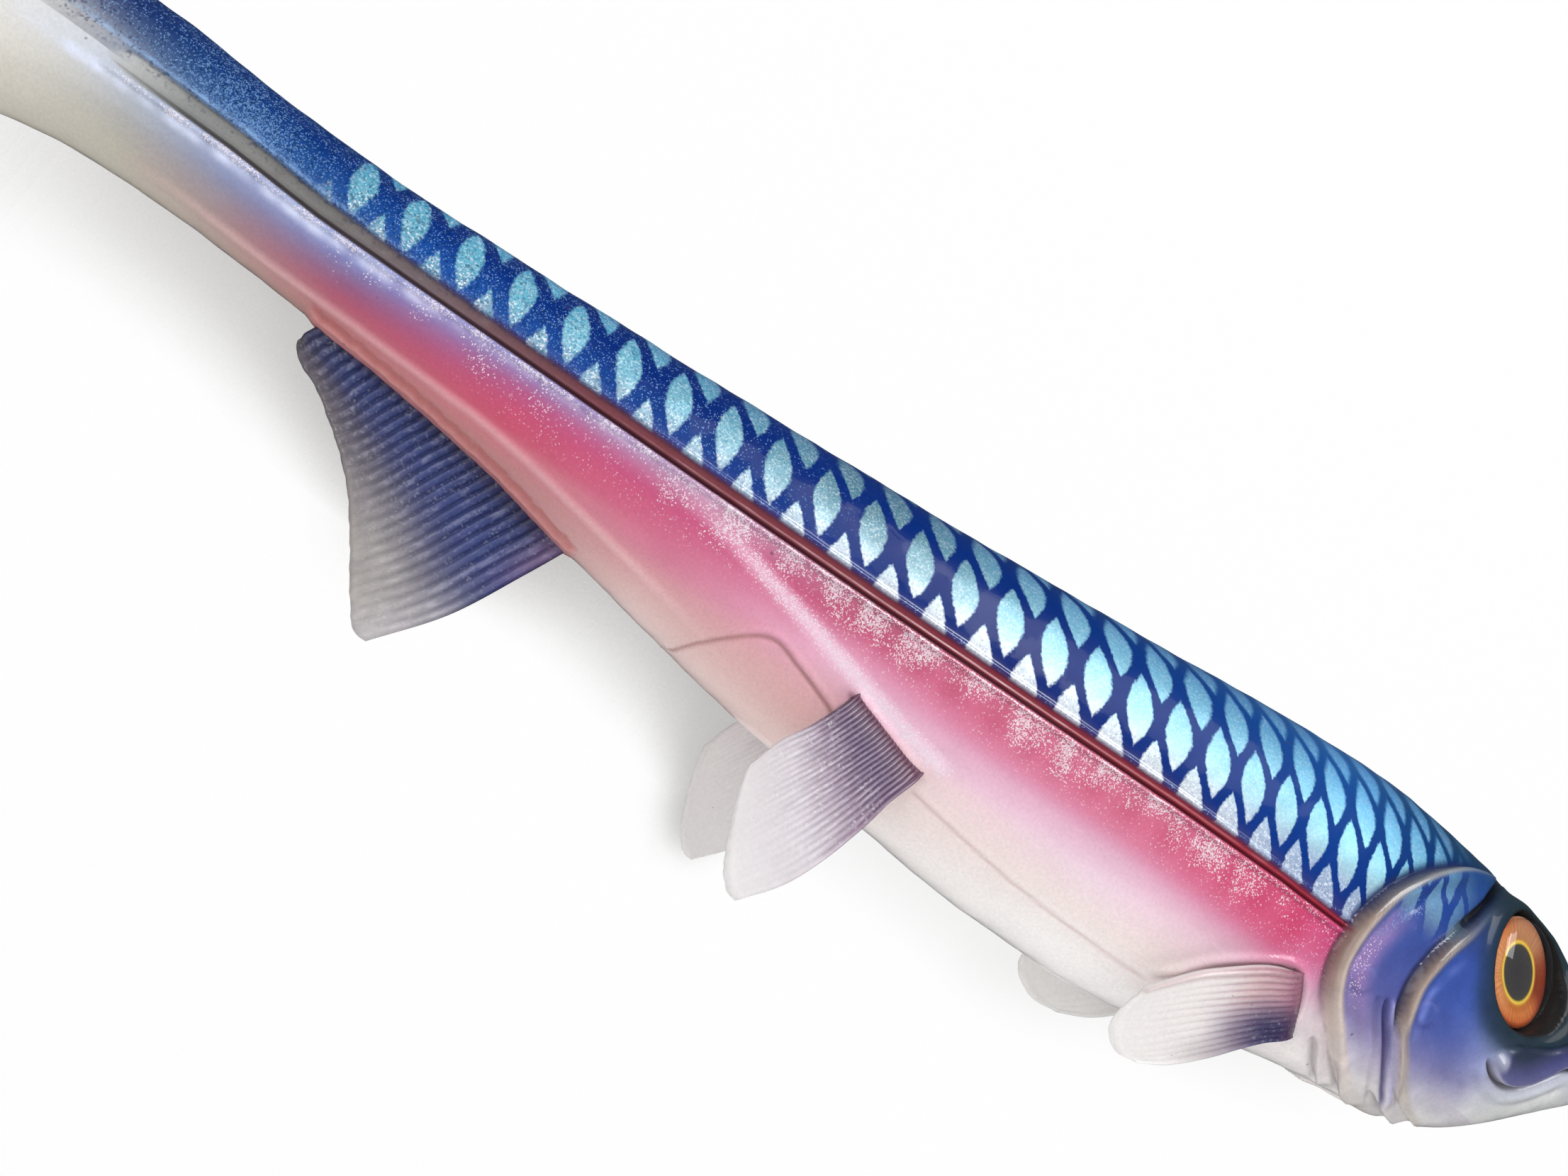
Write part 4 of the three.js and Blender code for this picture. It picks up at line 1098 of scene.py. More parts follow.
def metal_material():
    mat = Shader("cast_weight_metal", at_rest=False)
    mat.place = mat.add("TexCoord", "Object")
    colour = mat.mix((0.10, 0.10, 0.11), (0.26, 0.26, 0.28), mat.noise(scale=500, detail=4))
    normal = mat.bump(mat.noise(scale=1400, detail=3), strength=0.4, distance=0.0002)
    return mat.finish(mat.principled(Base_Color=colour, Metallic=0.85, Roughness=0.48,
                                     Normal=normal))


SKIN, FIN, FOIL, LENS = skin_material(), fin_material(), foil_material(), lens_material()

# ------------------------------------------------------------------ casting, in five pieces
# name, x of its rear end, bodies it follows, x where the blend starts and ends, piece replaced
CASTING = (
    ("skin_head", -56, "front", None, "head_and_shoulders"),
    ("skin_shoulder", -100, ("front", "middle"), (-62, -90), "mid_body"),
    ("skin_middle", -146, ("middle", "rear"), (-110, -134), "rear_body"),
    ("skin_rear", -184, ("rear", "stem"), (-163, -177), "tail_stem"),
    ("skin_tail", None, ("stem", "paddle"), (-190, -208), "tail_paddle"),
)


def skin_piece(name, rings, fields, caps):
    """a tube through the rings; caps are (ring index, faces reversed) closed to a middle point"""
    count = len(rings)
    points = rings.reshape(-1, 3)
    fields = {key: values.reshape(-1, values.shape[-1]) for key, values in fields.items()}
    start = np.arange(count - 1)[:, None] * COLUMNS
    column = np.arange(COLUMNS)[None, :]
    following = (column + 1) % COLUMNS
    faces = [np.stack([start + column, start + following, start + COLUMNS + following,
                       start + COLUMNS + column], axis=-1).reshape(-1, 4)]
    for ring, reverse in caps:
        first = ring * COLUMNS
        one_ring = slice(first, first + COLUMNS)
        centre = len(points)
        points = np.vstack([points, points[one_ring].mean(0)])
        fields = {key: np.vstack([v, v[one_ring].mean(0)]) for key, v in fields.items()}
        for j in range(0, COLUMNS, 2):
            corners = [first + (j + k) % COLUMNS for k in range(3)]
            faces.append([(corners[::-1] if reverse else corners) + [centre]])
    return mesh_object(name, points, np.vstack(faces), fields, SKIN)


def build_casting():
    skin, fields = casting()
    station = np.concatenate([np.full(len(TIP_RINGS), 1.0), STATIONS])
    rings, paddle_fields = paddle_rings(skin, fields)
    skin = np.concatenate([skin, rings])
    fields = {key: np.concatenate([fields[key], paddle_fields[key]]) for key in fields}
    first = 0
    for name, rear_x, bodies, bend, piece in CASTING:
        caps = [(0, True)] if first == 0 else []
        if rear_x is None:
            last = len(skin) - 1
            caps.append((last - first, False))
        else:
            last = int(np.argmin(np.abs(station - rear_x)))
        span = slice(first, last + 1)
        ob = skin_piece(name, skin[span], {key: v[span] for key, v in fields.items()}, caps)
        if bend is None:
            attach(ob, bodies)
        else:
            start, end = (tuple(to_row((x, 0.0, 0.0))) for x in bend)
            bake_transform(ob)
            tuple(start)
            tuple(end)
        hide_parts(piece)
        first = last


build_casting()


# ------------------------------------------------------------------ fins
# "across" runs 0..1 from the left rail to the right rail, "out" from the root to the free edge
def resample(points, count):
    line = spline(points, steps=16)
    lengths = np.linalg.norm(np.diff(line, axis=0), axis=1)
    travel = np.concatenate([[0], np.cumsum(lengths)])
    at = np.linspace(0, travel[-1], count)
    return np.stack([np.interp(at, travel, line[:, i]) for i in range(2)], axis=-1)


def body_half_width(x, z):
    """half width of the plain body at x, z, or 0 outside it"""
    top, bottom, half, middle = smooth_table(np.ravel(x), PROFILE).T
    z_flat = np.ravel(z)
    above = z_flat >= middle
    power = np.where(above, TOP_POWER, BELLY_POWER)
    reach = np.where(above, top - middle, middle - bottom)
    share = np.clip(np.abs(z_flat - middle) / reach, 0, 1)
    return (half * (1 - share ** power) ** (1 / power)).reshape(np.shape(x))


def rail_patch(left, right, root, edge, columns, rows):
    """(x, z) patch between four rails; the side rails' bow dies away inward"""
    left, right = resample(left, rows), resample(right, rows)
    root, edge = resample(root, columns), resample(edge, columns)
    u = np.linspace(0, 1, columns)[:, None, None]
    v = np.linspace(0, 1, rows)[None, :, None]
    patch = (1 - v) * root[:, None] + v * edge[:, None]
    return (patch + (1 - u) ** 3 * (left[None] - (1 - v) * left[0] - v * left[-1])
            + u ** 3 * (right[None] - (1 - v) * right[0] - v * right[-1]))


def unit(vectors):
    return vectors / np.maximum(np.linalg.norm(vectors, axis=-1, keepdims=True), 1e-9)


def fin_mesh(name, mirrored, rails, place_y, rays, colours, clear, glitter, thick, relief, rows=66,
             per_ray=9, sink=0.3, flare=0.9, ragged=0.035, pale_inside=True, smooth_tip=0.55,
             smooth_from=0.72, strand=lambda out: 0.9):
    """a ribbed blade; thick is (root, tip), flare thickens the root, and
    the rays fade by smooth_tip beyond smooth_from"""
    columns = rays * per_ray + 1
    flat = rail_patch(*rails, columns, rows)
    across, out = np.meshgrid(np.linspace(0, 1, columns), np.linspace(0, 1, rows), indexing="ij")
    # uneven free edge, and a root sunk below the skin
    seed = rng.uniform(0, 6.28, 4)
    rag = ragged * (np.sin(across * rays * 2.9 + seed[0]) + 0.7 * np.sin(across * rays * 1.3 + seed[1])
                    + 0.4 * np.sin(across * rays * 6.1 + seed[2])) * ramp(0.9, 1.0, out)
    outward = unit(np.gradient(flat, axis=1))
    flat = flat + outward * rag[..., None]
    flat = flat - outward * ((1 - np.clip(out / 0.05, 0, 1)) * sink)[..., None]
    x, z = flat[..., 0], flat[..., 1]
    middle = np.stack([x, place_y(x, z, across, out), z], axis=-1)
    normal = unit(np.cross(np.gradient(middle, axis=0), np.gradient(middle, axis=1)))
    normal = np.where(normal[..., 1:2] > 0, -normal, normal)       # towards the right, -y
    # rounded rays that wander slightly and stop short of the border
    wander = 0.10 * np.sin(out * 7.0 + seed[3]) + 0.07 * np.sin(across * 11.0 + out * 3.0)
    phase = across * rays + wander
    ray = np.clip(1 - np.abs(phase - np.floor(phase) - 0.5) * 2, 0, 1)
    ray = 1 - (1 - ray) ** 1.9
    border = ramp(0.0, 0.018, across) * ramp(1.0, 0.982, across) * ramp(1.0, 0.965, out)
    keep = (border * (0.35 + 0.65 * ramp(0.0, 0.1, out))
            * (1 - smooth_tip * ramp(smooth_from, 0.95, out)))
    body = thick[0] + (thick[1] - thick[0]) * out ** 0.7 + flare * np.exp(-out / 0.035)
    edge_round = rounded(1 - out, 0.012) * rounded(across, 0.012) * rounded(1 - across, 0.012)
    half = (0.5 * body + relief * (ray - 0.5) * keep) * (0.25 + 0.75 * edge_round)
    half = half + 0.10 * (bump(out - 0.975, 0.03) + bump(across - 0.02, 0.03)
                          + bump(across - 0.98, 0.03))
    outer = (middle + normal * half[..., None]).reshape(-1, 3)
    inner = (middle - normal * half[..., None]).reshape(-1, 3)
    # outer face, inner face, and a strip round the border
    count = columns * rows
    index = np.arange(count).reshape(columns, rows)
    quads = np.stack([index[:-1, :-1], index[1:, :-1], index[1:, 1:], index[:-1, 1:]],
                     axis=-1).reshape(-1, 4)
    first = outer[quads[:, 0]]
    turns = np.cross(outer[quads[:, 1]] - first, outer[quads[:, 3]] - first)
    loop = np.concatenate([index[:, 0], index[-1, 1:], index[-2::-1, -1], index[0, -2:0:-1]])
    following = np.roll(loop, -1)
    strip = np.stack([loop, loop + count, following + count, following], axis=-1)
    faces = np.vstack([quads, quads[:, ::-1] + count, strip])
    if turns[:, 1].mean() > 0:
        faces = faces[:, ::-1]
    points = np.concatenate([outer, inner])
    if mirrored:
        points = points * (1, -1, 1)
        faces = faces[:, ::-1]
    rgb = colours(across, out, ray * keep)
    inner_rgb = mix(rgb, (238, 238, 234), 0.93) if pale_inside else rgb
    look = np.stack([ray * keep, clear(across, out), glitter(out) + 0 * out], axis=-1)
    lanes = np.stack([across * rays + seed[0], out, strand(out) + 0 * out], axis=-1)
    inner_lanes = lanes * (1, 1, 0.12 if pale_inside else 1)
    return mesh_object(name, points, faces, {
        "paint": opaque(linear(np.concatenate([rgb, inner_rgb]).reshape(-1, 3))),
        "fin_look": np.concatenate([look, look]).reshape(-1, 3),
        "fin_uv": np.concatenate([lanes, inner_lanes]).reshape(-1, 3)}, FIN)


def plane_y(*points):
    """y of the plane through three points, as a function of x and z"""
    a, b, c = (np.array(point, float) for point in points)
    normal = np.cross(b - a, c - a)
    return lambda x, z: a[1] - (normal[0] * (x - a[0]) + normal[2] * (z - a[2])) / normal[1]


def pelvic_colour(across, out, ray):
    c = stops_1d(out, [(0, 112, 56, 76), (0.04, 96, 56, 80), (0.14, 104, 78, 106),
                       (0.28, 142, 120, 142), (0.42, 196, 184, 194), (0.58, 234, 230, 232),
                       (1, 246, 245, 243)])
    # violet band near the root, red root, rosy right rail
    c = mix(c, (86, 70, 108), 0.55 * np.exp(-((out - 0.14) / 0.11) ** 2)
            * (0.45 + 0.55 * np.sin(np.pi * np.clip(across, 0, 1)) ** 2))
    c = mix(c, (140, 60, 84), 0.65 * ramp(0.07, 0.0, out))
    c = mix(c, (150, 110, 136), 0.40 * ramp(0.88, 1.0, across) * ramp(0.75, 0.2, out))
    # painted shade in the valleys, painted highlight on the crests
    dark = (1 - ray) * (0.55 * (1 - out) ** 1.8 + 0.04)
    c = c * (1 - dark[..., None] * np.array([0.62, 0.74, 0.50]))
    return mix(c, (244, 238, 246), 0.42 * ray * np.clip(1.1 - 1.3 * out, 0, 1))


def anal_colour(across, out, ray):
    c = stops_1d(out, [(0, 80, 62, 98), (0.08, 46, 60, 120), (0.30, 58, 74, 134),
                       (0.48, 72, 78, 124), (0.68, 96, 92, 112), (1, 124, 116, 118)])
    # pale outer corner, pink and pale along the right rail, grey along the left
    c = mix(c, (186, 181, 171),
            0.96 * ramp(0.26, 0.80, across + 0.25 * (out - 0.7)) * ramp(0.34, 0.86, out))
    c = mix(c, (178, 134, 168), 0.85 * ramp(0.86, 1.0, across) * ramp(0.50, 0.04, out))
    c = mix(c, (210, 206, 204), 0.70 * ramp(0.84, 1.0, across) * ramp(0.3, 0.8, out))
    c = mix(c, (100, 92, 102), 0.55 * ramp(0.20, 0.0, across))
    # painted shade in the valleys between the rays, painted highlight on their crests
    dark = (1 - ray) * (0.50 * (1 - out) + 0.10)
    c = c * (1 - dark[..., None] * np.array([0.74, 0.70, 0.45]))
    return mix(c, (150, 156, 200), 0.34 * ray * (1 - 0.8 * out))


def pectoral_colour(across, out, ray):
    c = stops_1d(out, [(0, 196, 140, 160), (0.12, 216, 176, 186), (0.28, 242, 218, 216),
                       (0.42, 254, 248, 246), (1, 255, 254, 252)])
    # blue patch at the right rail's root with a grey fringe, rosy root, warm left rail
    dark = ramp(0.30, 0.85, across + 0.10 * np.sin(out * 5.0)) * (1 - ramp(0.12, 0.55, out))
    c = mix(c, (58, 60, 106), 0.88 * dark)
    c = mix(c, (128, 116, 128),
            0.35 * ramp(0.55, 0.95, across) * (1 - ramp(0.45, 0.8, out)) * (1 - dark))
    c = mix(c, (150, 96, 120), 0.40 * ramp(0.09, 0.0, out))
    c = mix(c, (196, 160, 160), 0.35 * ramp(0.10, 0.0, across))
    shade = (1 - ray) * 0.26 * (1 - ramp(0.3, 0.6, out))
    return c * (1 - shade[..., None] * np.array([0.5, 0.75, 0.6]))


pelvic_plane = plane_y((-101.3, -10.5, -7.4), (-91.1, -10.3, -10.2), (-100.5, -13.0, -30.0))
pectoral_plane = plane_y((-46.2, -12.9, -3.9), (-41.2, -9.2, -9.8), (-61.0, -12.8, -20.0))


def pelvic_y(x, z, across, out):
    return (pelvic_plane(x, z) - 0.35 * np.sin(np.pi * out)
            - 0.25 * np.sin(np.pi * across) * out + 1.3 * np.exp(-out / 0.03))


def pectoral_y(x, z, across, out):
    """the wider of a flat plane and a skin-hugging sheet, smoothly joined"""
    hug = body_half_width(x, z) + 0.80 + 0.25 * out
    flat = -pectoral_plane(x, z)
    softness = 1.2
    share = np.clip(0.5 + 0.5 * (hug - flat) / softness, 0, 1)
    y = flat * (1 - share) + hug * share + softness * share * (1 - share)
    return -(y - 1.15 * np.exp(-out / 0.03))


# rails are (x, z) points in the order left, right, root, edge
PELVIC = dict(
    rails=([(-101.8, -7.4), (-103.9, -11.9), (-105.9, -15.3), (-107.1, -19.1)],
           [(-91.3, -10.4), (-92.8, -13.8), (-93.8, -17.4), (-95.7, -22.7), (-97.8, -26.7),
            (-100.9, -30.3)],
           [(-101.8, -7.4), (-96.6, -8.8), (-91.3, -10.4)],
           [(-107.1, -19.1), (-106.3, -22.4), (-104.1, -27.7), (-102.2, -30), (-100.9, -30.3)]),
    place_y=pelvic_y, rays=21, per_ray=8, colours=pelvic_colour,
    clear=lambda across, out: 0.03 + 0.30 * ramp(0.35, 1.0, out),
    glitter=lambda out: 0.75 * ramp(0.05, 0.3, out) * ramp(1.0, 0.6, out),
    thick=(1.5, 0.7), relief=0.15, smooth_tip=0.95, smooth_from=0.42,
    strand=lambda out: 1 - 0.85 * ramp(0.4, 0.85, out))
ANAL = dict(
    rails=([(-166, -7.6), (-166.4, -8.5), (-166.4, -9.3)],
           [(-133, -11.5), (-134.9, -15.6), (-138.7, -23.2), (-143.9, -30.1)],
           [(-166, -7.6), (-158, -8.1), (-149, -8.9), (-141, -10.1), (-133, -11.5)],
           [(-166.4, -9.3), (-165.4, -10.9), (-161.4, -12.9), (-155.6, -17.3), (-152, -21.4),
            (-149, -25.6), (-146.6, -28.8), (-145.5, -29.9), (-143.9, -30.1)]),
    place_y=lambda x, z, across, out: 0.25 * np.sin(3.0 * out + 2.0 * across) * out,
    rays=27, rows=72, colours=anal_colour,
    clear=lambda across, out: (0.02 + 0.22 * ramp(0.35, 1.0, out)
                               + 0.20 * ramp(0.6, 1.0, across) * ramp(0.45, 1.0, out)),
    glitter=lambda out: 0.30, thick=(1.7, 0.6), relief=0.30, sink=1.2, pale_inside=False)
PECTORAL = dict(
    rails=([(-46.2, -3.9), (-49.6, -5.3), (-53.7, -8), (-56.8, -10.4), (-60.5, -14.5)],
           [(-41.2, -9.8), (-43.2, -11.4), (-45.4, -13.6), (-47.9, -16.3), (-51.6, -19.4),
            (-55.3, -21.1)],
           [(-46.2, -3.9), (-44, -6.4), (-41.2, -9.8)],
           [(-60.5, -14.5), (-61.2, -19), (-58.5, -21.3), (-55.3, -21.1)]),
    place_y=pectoral_y, rays=13, colours=pectoral_colour,
    clear=lambda across, out: 0.02 + 0.16 * ramp(0.5, 1.0, out),
    glitter=lambda out: 0.25, thick=(1.3, 0.6), relief=0.12, flare=0.5, ragged=0.02,
    smooth_tip=0.95, smooth_from=0.30, strand=lambda out: 0.6 * (1 - ramp(0.2, 0.5, out)))
BLEND_START, BLEND_END = 0.2, 5.0       # from the root's middle towards the edge's


def build_fin(kind, side, root, tip, shape):
    """kind and side name the fin; root and tip are middle points of its root and edge"""
    ob = fin_mesh("fin_" + kind + side, side == "_left", **shape)
    root, tip = np.array(root, float), np.array(tip, float)
    outward = (tip - root) / np.linalg.norm(tip - root)
    flip = (1, -1 if side == "_left" else 1, 1)
    start, end = (tuple(to_row((root + outward * reach) * flip))
                  for reach in (BLEND_START, BLEND_END))
    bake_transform(ob)
    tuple(start)
    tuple(end)
    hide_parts(kind + "_fin" + side)


for side in ("_right", "_left"):
    build_fin("pelvic", side, (-96.2, -10.4, -8.8), (-100.0, -12.2, -22.0), PELVIC)
    build_fin("pectoral", side, (-43.7, -11.5, -6.8), (-56.0, -12.6, -15.5), PECTORAL)
build_fin("anal", "", (-149.5, 0.0, -9.6), (-154.5, 0.0, -18.5), ANAL)

# ------------------------------------------------------------------ eyes
EYE_SEGMENTS = 160
FOIL_RADIUS, DOME_RADIUS, DOME_FOOT, DOME_RISE = 6.2, 5.95, -0.62, 2.02
# profiles run (radius, height) from the axis over the front and back to the axis
FOIL_PROFILE = ([(0, -1.1)] + [(radius, -1.1) for radius in np.linspace(0.1, 6.1, 62)]
                + [(FOIL_RADIUS, -1.18), (FOIL_RADIUS, -1.55), (6.1, -1.6), (3.0, -1.6), (0, -1.6)])
LENS_PROFILE = [(DOME_RADIUS * math.sin(t * math.pi / 2),
                 DOME_FOOT + DOME_RISE * math.cos(t * math.pi / 2) ** 1.05)
                for t in np.linspace(0, 1, 30)]
LENS_PROFILE += [(6.05, -0.72), (6.05, -0.95), (DOME_RADIUS, -1.0), (3.0, -1.0), (0, -1.0)]


def foil_colour(radius, angle):
    share = radius / FOIL_RADIUS
    # grey pupil, thin yellow ring, orange iris, dark edge
    c = stops_1d(share, [(0, 66, 66, 70), (0.46, 74, 74, 78), (0.495, 96, 88, 60),
                         (0.52, 240, 208, 84), (0.555, 250, 218, 96), (0.585, 214, 150, 64),
                         (0.64, 214, 128, 62), (0.76, 236, 148, 84), (0.88, 230, 130, 74),
                         (0.95, 170, 80, 44), (1, 88, 44, 30)])
    iris = ramp(0.58, 0.62, share)
    # paler at the top as a painted reflection, dark red in front as painted shade from the socket
    # wall, bright behind, fine spokes
    c = mix(c, (204, 160, 128), 0.75 * iris * ramp(0.35, 0.95, np.sin(angle)))
    c = mix(c, (128, 44, 34), 0.75 * iris * ramp(0.30, 1.0, np.cos(angle))
            * ramp(-0.2, 0.4, np.sin(angle) + 0.3))
    c = mix(c, (250, 190, 140), 0.55 * iris * ramp(0.2, 0.9, -np.cos(angle - 0.5))
            * ramp(0.98, 0.8, share))
    spokes = 0.5 + 0.5 * np.sin(angle * 61 + 3 * np.sin(angle * 7))
    return mix(c, (120, 56, 34), 0.22 * iris * spokes)


def turned(name, profile, colours, material, mirrored):
    """solid of revolution about the eye's axis"""
    angle = np.linspace(0, 2 * np.pi, EYE_SEGMENTS, endpoint=False)
    circle = np.outer(np.cos(angle), EYE_FORWARD) + np.outer(np.sin(angle), EYE_UP)
    rings = [EYE_CENTRE + EYE_AXIS * height + radius * circle for radius, height in profile[1:-1]]
    ends = [EYE_CENTRE + EYE_AXIS * profile[i][1] for i in (0, -1)]
    points = np.concatenate(rings + [ends])
    count = len(rings)
    j = np.arange(EYE_SEGMENTS)
    following = (j + 1) % EYE_SEGMENTS
    faces = []
    for start in range(0, (count - 1) * EYE_SEGMENTS, EYE_SEGMENTS):
        after = start + EYE_SEGMENTS
        faces.append(np.stack([start + j, after + j, after + following, start + following], -1))
    even = np.arange(0, EYE_SEGMENTS, 2)
    fan = [even, (even + 1) % EYE_SEGMENTS, (even + 2) % EYE_SEGMENTS]
    front = count * EYE_SEGMENTS
    last = front - EYE_SEGMENTS
    faces.append(np.stack([np.full(len(even), front)] + fan, -1))
    faces.append(np.stack([np.full(len(even), front + 1)] + [last + k for k in fan[::-1]], -1))
    faces = np.vstack(faces)
    fields = {}
    if colours:
        radii = np.repeat([radius for radius, _ in profile[1:-1]], EYE_SEGMENTS)
        rgb = colours(np.append(radii, [0, 0]), np.append(np.tile(angle, count), [0, 0]))
        fields["paint"] = opaque(linear(rgb))
    if mirrored:
        points = points * (1, -1, 1)
        faces = faces[:, ::-1]
    return mesh_object(name, points, faces, fields, material)


for side in ("right", "left"):
    for part, form, profile, colours, material in (
            ("eye_foil", "disc", FOIL_PROFILE, foil_colour, FOIL),
            ("eye_lens", "dome", LENS_PROFILE, None, LENS)):
        ob = turned(f"{part}_{side}_{form}", profile, colours, material, side == "left")
        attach(ob, "front")
        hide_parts(f"{part}_{side}")

ballast = frame["nodes"]["keel_ballast"]
ballast.data.materials.clear()
ballast.data.materials.append(metal_material())
for polygon in ballast.data.polygons:
    polygon.material_index = 0


# ------------------------------------------------------------------ stage, in row metres
def stage_sheet(name, points, faces, material):
    """a smooth sheet facing -y"""
    mesh = bpy.data.meshes.new(name)
    mesh.from_pydata(points, [], faces)
    mesh.update()
    if mesh.polygons[0].normal.y > 0:
        mesh.flip_normals()
    for polygon in mesh.polygons:
        polygon.use_smooth = True
    mesh.materials.append(material)
    link_object(name, mesh)


def sweep_material():
    mat = Shader("matt_white_sweep", at_rest=False)
    paper = mat.principled(
        Base_Color=mat.mix((0.93, 0.93, 0.935), (0.95, 0.95, 0.95), mat.noise(scale=9)),
        Roughness=0.9)
    camera_ray, glossy_ray = mat.add("LightPath", "Is Camera Ray", "Is Glossy Ray")
    # near white to the camera, dark in the lure's own reflections, clear from behind
    glow = mat.add("Emission", inputs={"Strength": 0.992})
    dim = mat.add("BsdfDiffuse", inputs={"Color": (0.06, 0.06, 0.07)})
    seen = mat.blend(mat.blend(paper, glow, camera_ray * 0.975), dim, glossy_ray)
    backfacing = mat.add("NewGeometry", "Backfacing")
    return mat.finish(mat.blend(seen, mat.add("BsdfTransparent"), backfacing))


def sweep_stage():
    """a seamless pale sweep: upright behind the lure, bending into a floor"""
    wall_y, floor_z, bend = 0.135, -0.155, 0.16
    profile = [(wall_y, 1.6)]
    for degrees in np.linspace(0, 90, 25):
        turn = math.radians(degrees)
        profile.append((wall_y - bend + bend * math.cos(turn),
                        floor_z + bend - bend * math.sin(turn)))
    profile.append((-1.8, floor_z))
    points = [(x, y, z) for x in np.linspace(-1.7, 1.5, 3) for y, z in profile]
    n = len(profile)
    faces = [(i * n + j, i * n + j + 1, (i + 1) * n + j + 1, (i + 1) * n + j)
             for i in range(2) for j in range(n - 1)]
    stage_sheet("studio_sweep", points, faces, sweep_material())


def film_material():
    """darkens what the camera sees through it, where the lure is close in front"""
    mat = Shader("contact_shadow_film", at_rest=False)
    ramp = mat.ramp
    incoming, position, backfacing = mat.add("NewGeometry", "Incoming", "Position", "Backfacing")

    def openness(x, y, z, samples, reach):
        towards = mat.add("CombineXYZ", inputs={0: x, 1: y, 2: z})
        return mat.add("AmbientOcclusion", "AO", samples=samples,
                       inputs={"Distance": reach, "Normal": towards})

    def along(start, end):
        return ramp(start, end, mat.split(position)[0])

    shade = ramp(0.42, 0.87, openness(0.42, -0.62, 0.66, samples=16, reach=0.0165))
    # a bent body that has swung through the sheet gets no shadow from it
    clear = ramp(0.90, 0.99, openness(0.0, 1.0, 0.0, samples=12, reach=0.022))
    ahead = mat.add("VectorMath", "Value", operation="DOT_PRODUCT",
                    inputs={0: incoming, 1: (0.0, -1.0, 0.0)})
    facing = ramp(0.62, 0.86, ahead) * along(-0.218, -0.206) * (1.0 - backfacing)
    camera_ray = mat.add("LightPath", "Is Camera Ray")
    strength = 0.56 + along(-0.205, -0.155) * 0.24 - along(-0.104, -0.084) * 0.60
    use = facing * clear * camera_ray * strength
    tint = mat.mix((0.38, 0.365, 0.35), (1, 1, 1), shade)
    return mat.finish(mat.add("BsdfTransparent", inputs={"Color": mat.mix((1, 1, 1), tint, use)}))


def contact_film():
    """a clear sheet just behind the resting lure that carries its soft contact shadow"""
    line = np.array([(-0.34, 0.0200), (-0.2235, 0.0200), (-0.2135, 0.0150), (-0.2060, 0.0112),
                     (-0.1960, 0.0098), (-0.1800, 0.0100), (-0.1560, 0.0118), (-0.1320, 0.0146),
                     (-0.1120, 0.0168), (-0.08, 0.0172), (0.09, 0.0172)])      # x, y
    xs = np.concatenate([[-0.34], np.linspace(-0.235, -0.10, 70), [0.09]])
    ys = smooth_table(xs, line)[:, 0]
    points = [(x, y, z) for x, y in zip(xs, ys) for z in (-0.16, 0.12)]
    faces = [(2 * i, 2 * i + 2, 2 * i + 3, 2 * i + 1) for i in range(len(xs) - 1)]
    stage_sheet("contact_shadow_film", points, faces, film_material())


sweep_stage()
contact_film()

# ------------------------------------------------------------------ light and camera
LIGHT_AIM = Vector((-0.112, 0.0, -0.009))


def area_light(name, place, size, power, reflected=1.0):
    """size is (width, height); reflected is its strength in reflections, 1 being full"""
    light = bpy.data.lights.new(name, "AREA")
    light.shape = "RECTANGLE"
    light.size, light.size_y = size
    light.energy = power
    if reflected < 1:
        light.use_nodes = True
        tree = light.node_tree
        rays = tree.nodes.new("ShaderNodeLightPath")
        level = tree.nodes.new("ShaderNodeMapRange")
        level.inputs["To Min"].default_value = 1.0
        level.inputs["To Max"].default_value = reflected
        tree.links.new(rays.outputs["Is Glossy Ray"], level.inputs["Value"])
        tree.links.new(level.outputs["Result"], tree.nodes["Emission"].inputs["Strength"])
    ob = link_object(name, light)
    ob.location = place
    ob.rotation_mode = "QUATERNION"
    ob.rotation_quaternion = (LIGHT_AIM - Vector(place)).to_track_quat("-Z", "Y")


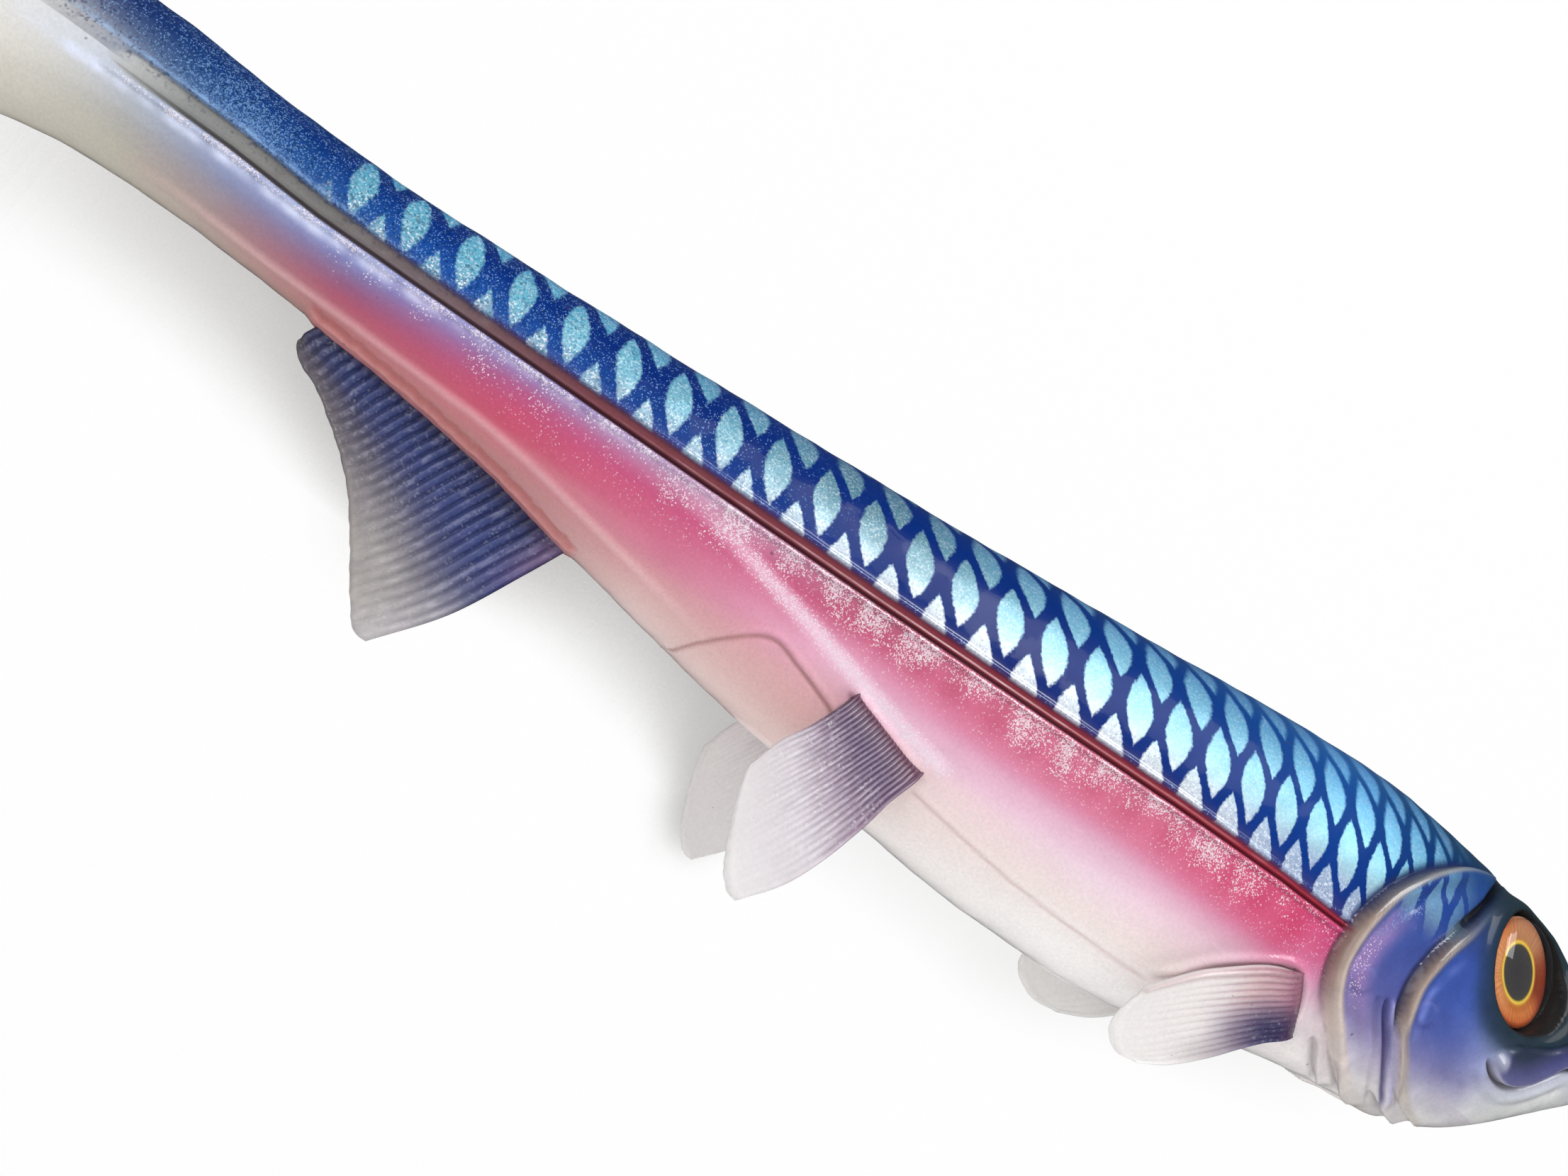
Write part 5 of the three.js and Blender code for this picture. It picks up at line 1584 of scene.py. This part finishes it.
area_light("key_softbox", (0.02, -0.36, 0.42), size=(0.34, 0.34), power=2.15, reflected=0.45)
area_light("fill_card", (-0.42, -0.42, -0.02), size=(0.30, 0.5), power=0.5)
area_light("back_top", (-0.15, 0.25, 0.50), size=(0.5, 0.3), power=0.7, reflected=0.35)
area_light("low_fill", (-0.10, -0.17, -0.37), size=(0.30, 0.30), power=1.95, reflected=0.12)
area_light("crisp_strip", (-0.02, -0.30, 0.36), size=(0.05, 0.34), power=0.45)


def pale_world():
    """full white to the camera, half as bright to diffuse rays, dim in reflections"""
    world = bpy.data.worlds.new("pale_studio")
    world.use_nodes = True
    nodes, links = world.node_tree.nodes, world.node_tree.links
    background = nodes["Background"]
    background.inputs[0].default_value = (1, 1, 1, 1)
    rays = nodes.new("ShaderNodeLightPath")
    level = nodes.new("ShaderNodeMapRange")
    level.inputs["To Min"].default_value = 0.50
    level.inputs["To Max"].default_value = 0.07
    lift = nodes.new("ShaderNodeMath")
    lift.operation = "MAXIMUM"
    links.new(rays.outputs["Is Glossy Ray"], level.inputs["Value"])
    links.new(level.outputs["Result"], lift.inputs[0])
    links.new(rays.outputs["Is Camera Ray"], lift.inputs[1])
    links.new(lift.outputs[0], background.inputs[1])
    scene.world = world


def place_camera():
    azimuth, elevation, roll = math.radians(-10), math.radians(-8), math.radians(34.5)
    distance = 0.17007
    back = Vector((math.sin(azimuth) * math.cos(elevation),
                   -math.cos(azimuth) * math.cos(elevation), math.sin(elevation)))
    level_right = (-back).cross(Vector((0, 0, 1))).normalized()
    level_up = level_right.cross(-back)
    right = math.cos(roll) * level_right + math.sin(roll) * level_up
    up = -math.sin(roll) * level_right + math.cos(roll) * level_up
    target = Vector(to_row((-112.0, 0.0, -1.0)))
    data = bpy.data.cameras.new("photo_camera")
    data.sensor_width = 36.0
    data.lens = 36.91
    data.clip_start, data.clip_end = 0.005, 20.0
    camera = link_object("photo_camera", data)
    camera.matrix_world = Matrix((*((right[i], up[i], back[i], 0) for i in range(3)),
                                  (0, 0, 0, 1)))
    camera.matrix_world.translation = target + back * distance
    scene.camera = camera


pale_world()
place_camera()
scene.view_settings.view_transform = "Standard"
scene.view_settings.look = "None"
scene.view_settings.exposure = 0.0
scene.view_settings.gamma = 1.0
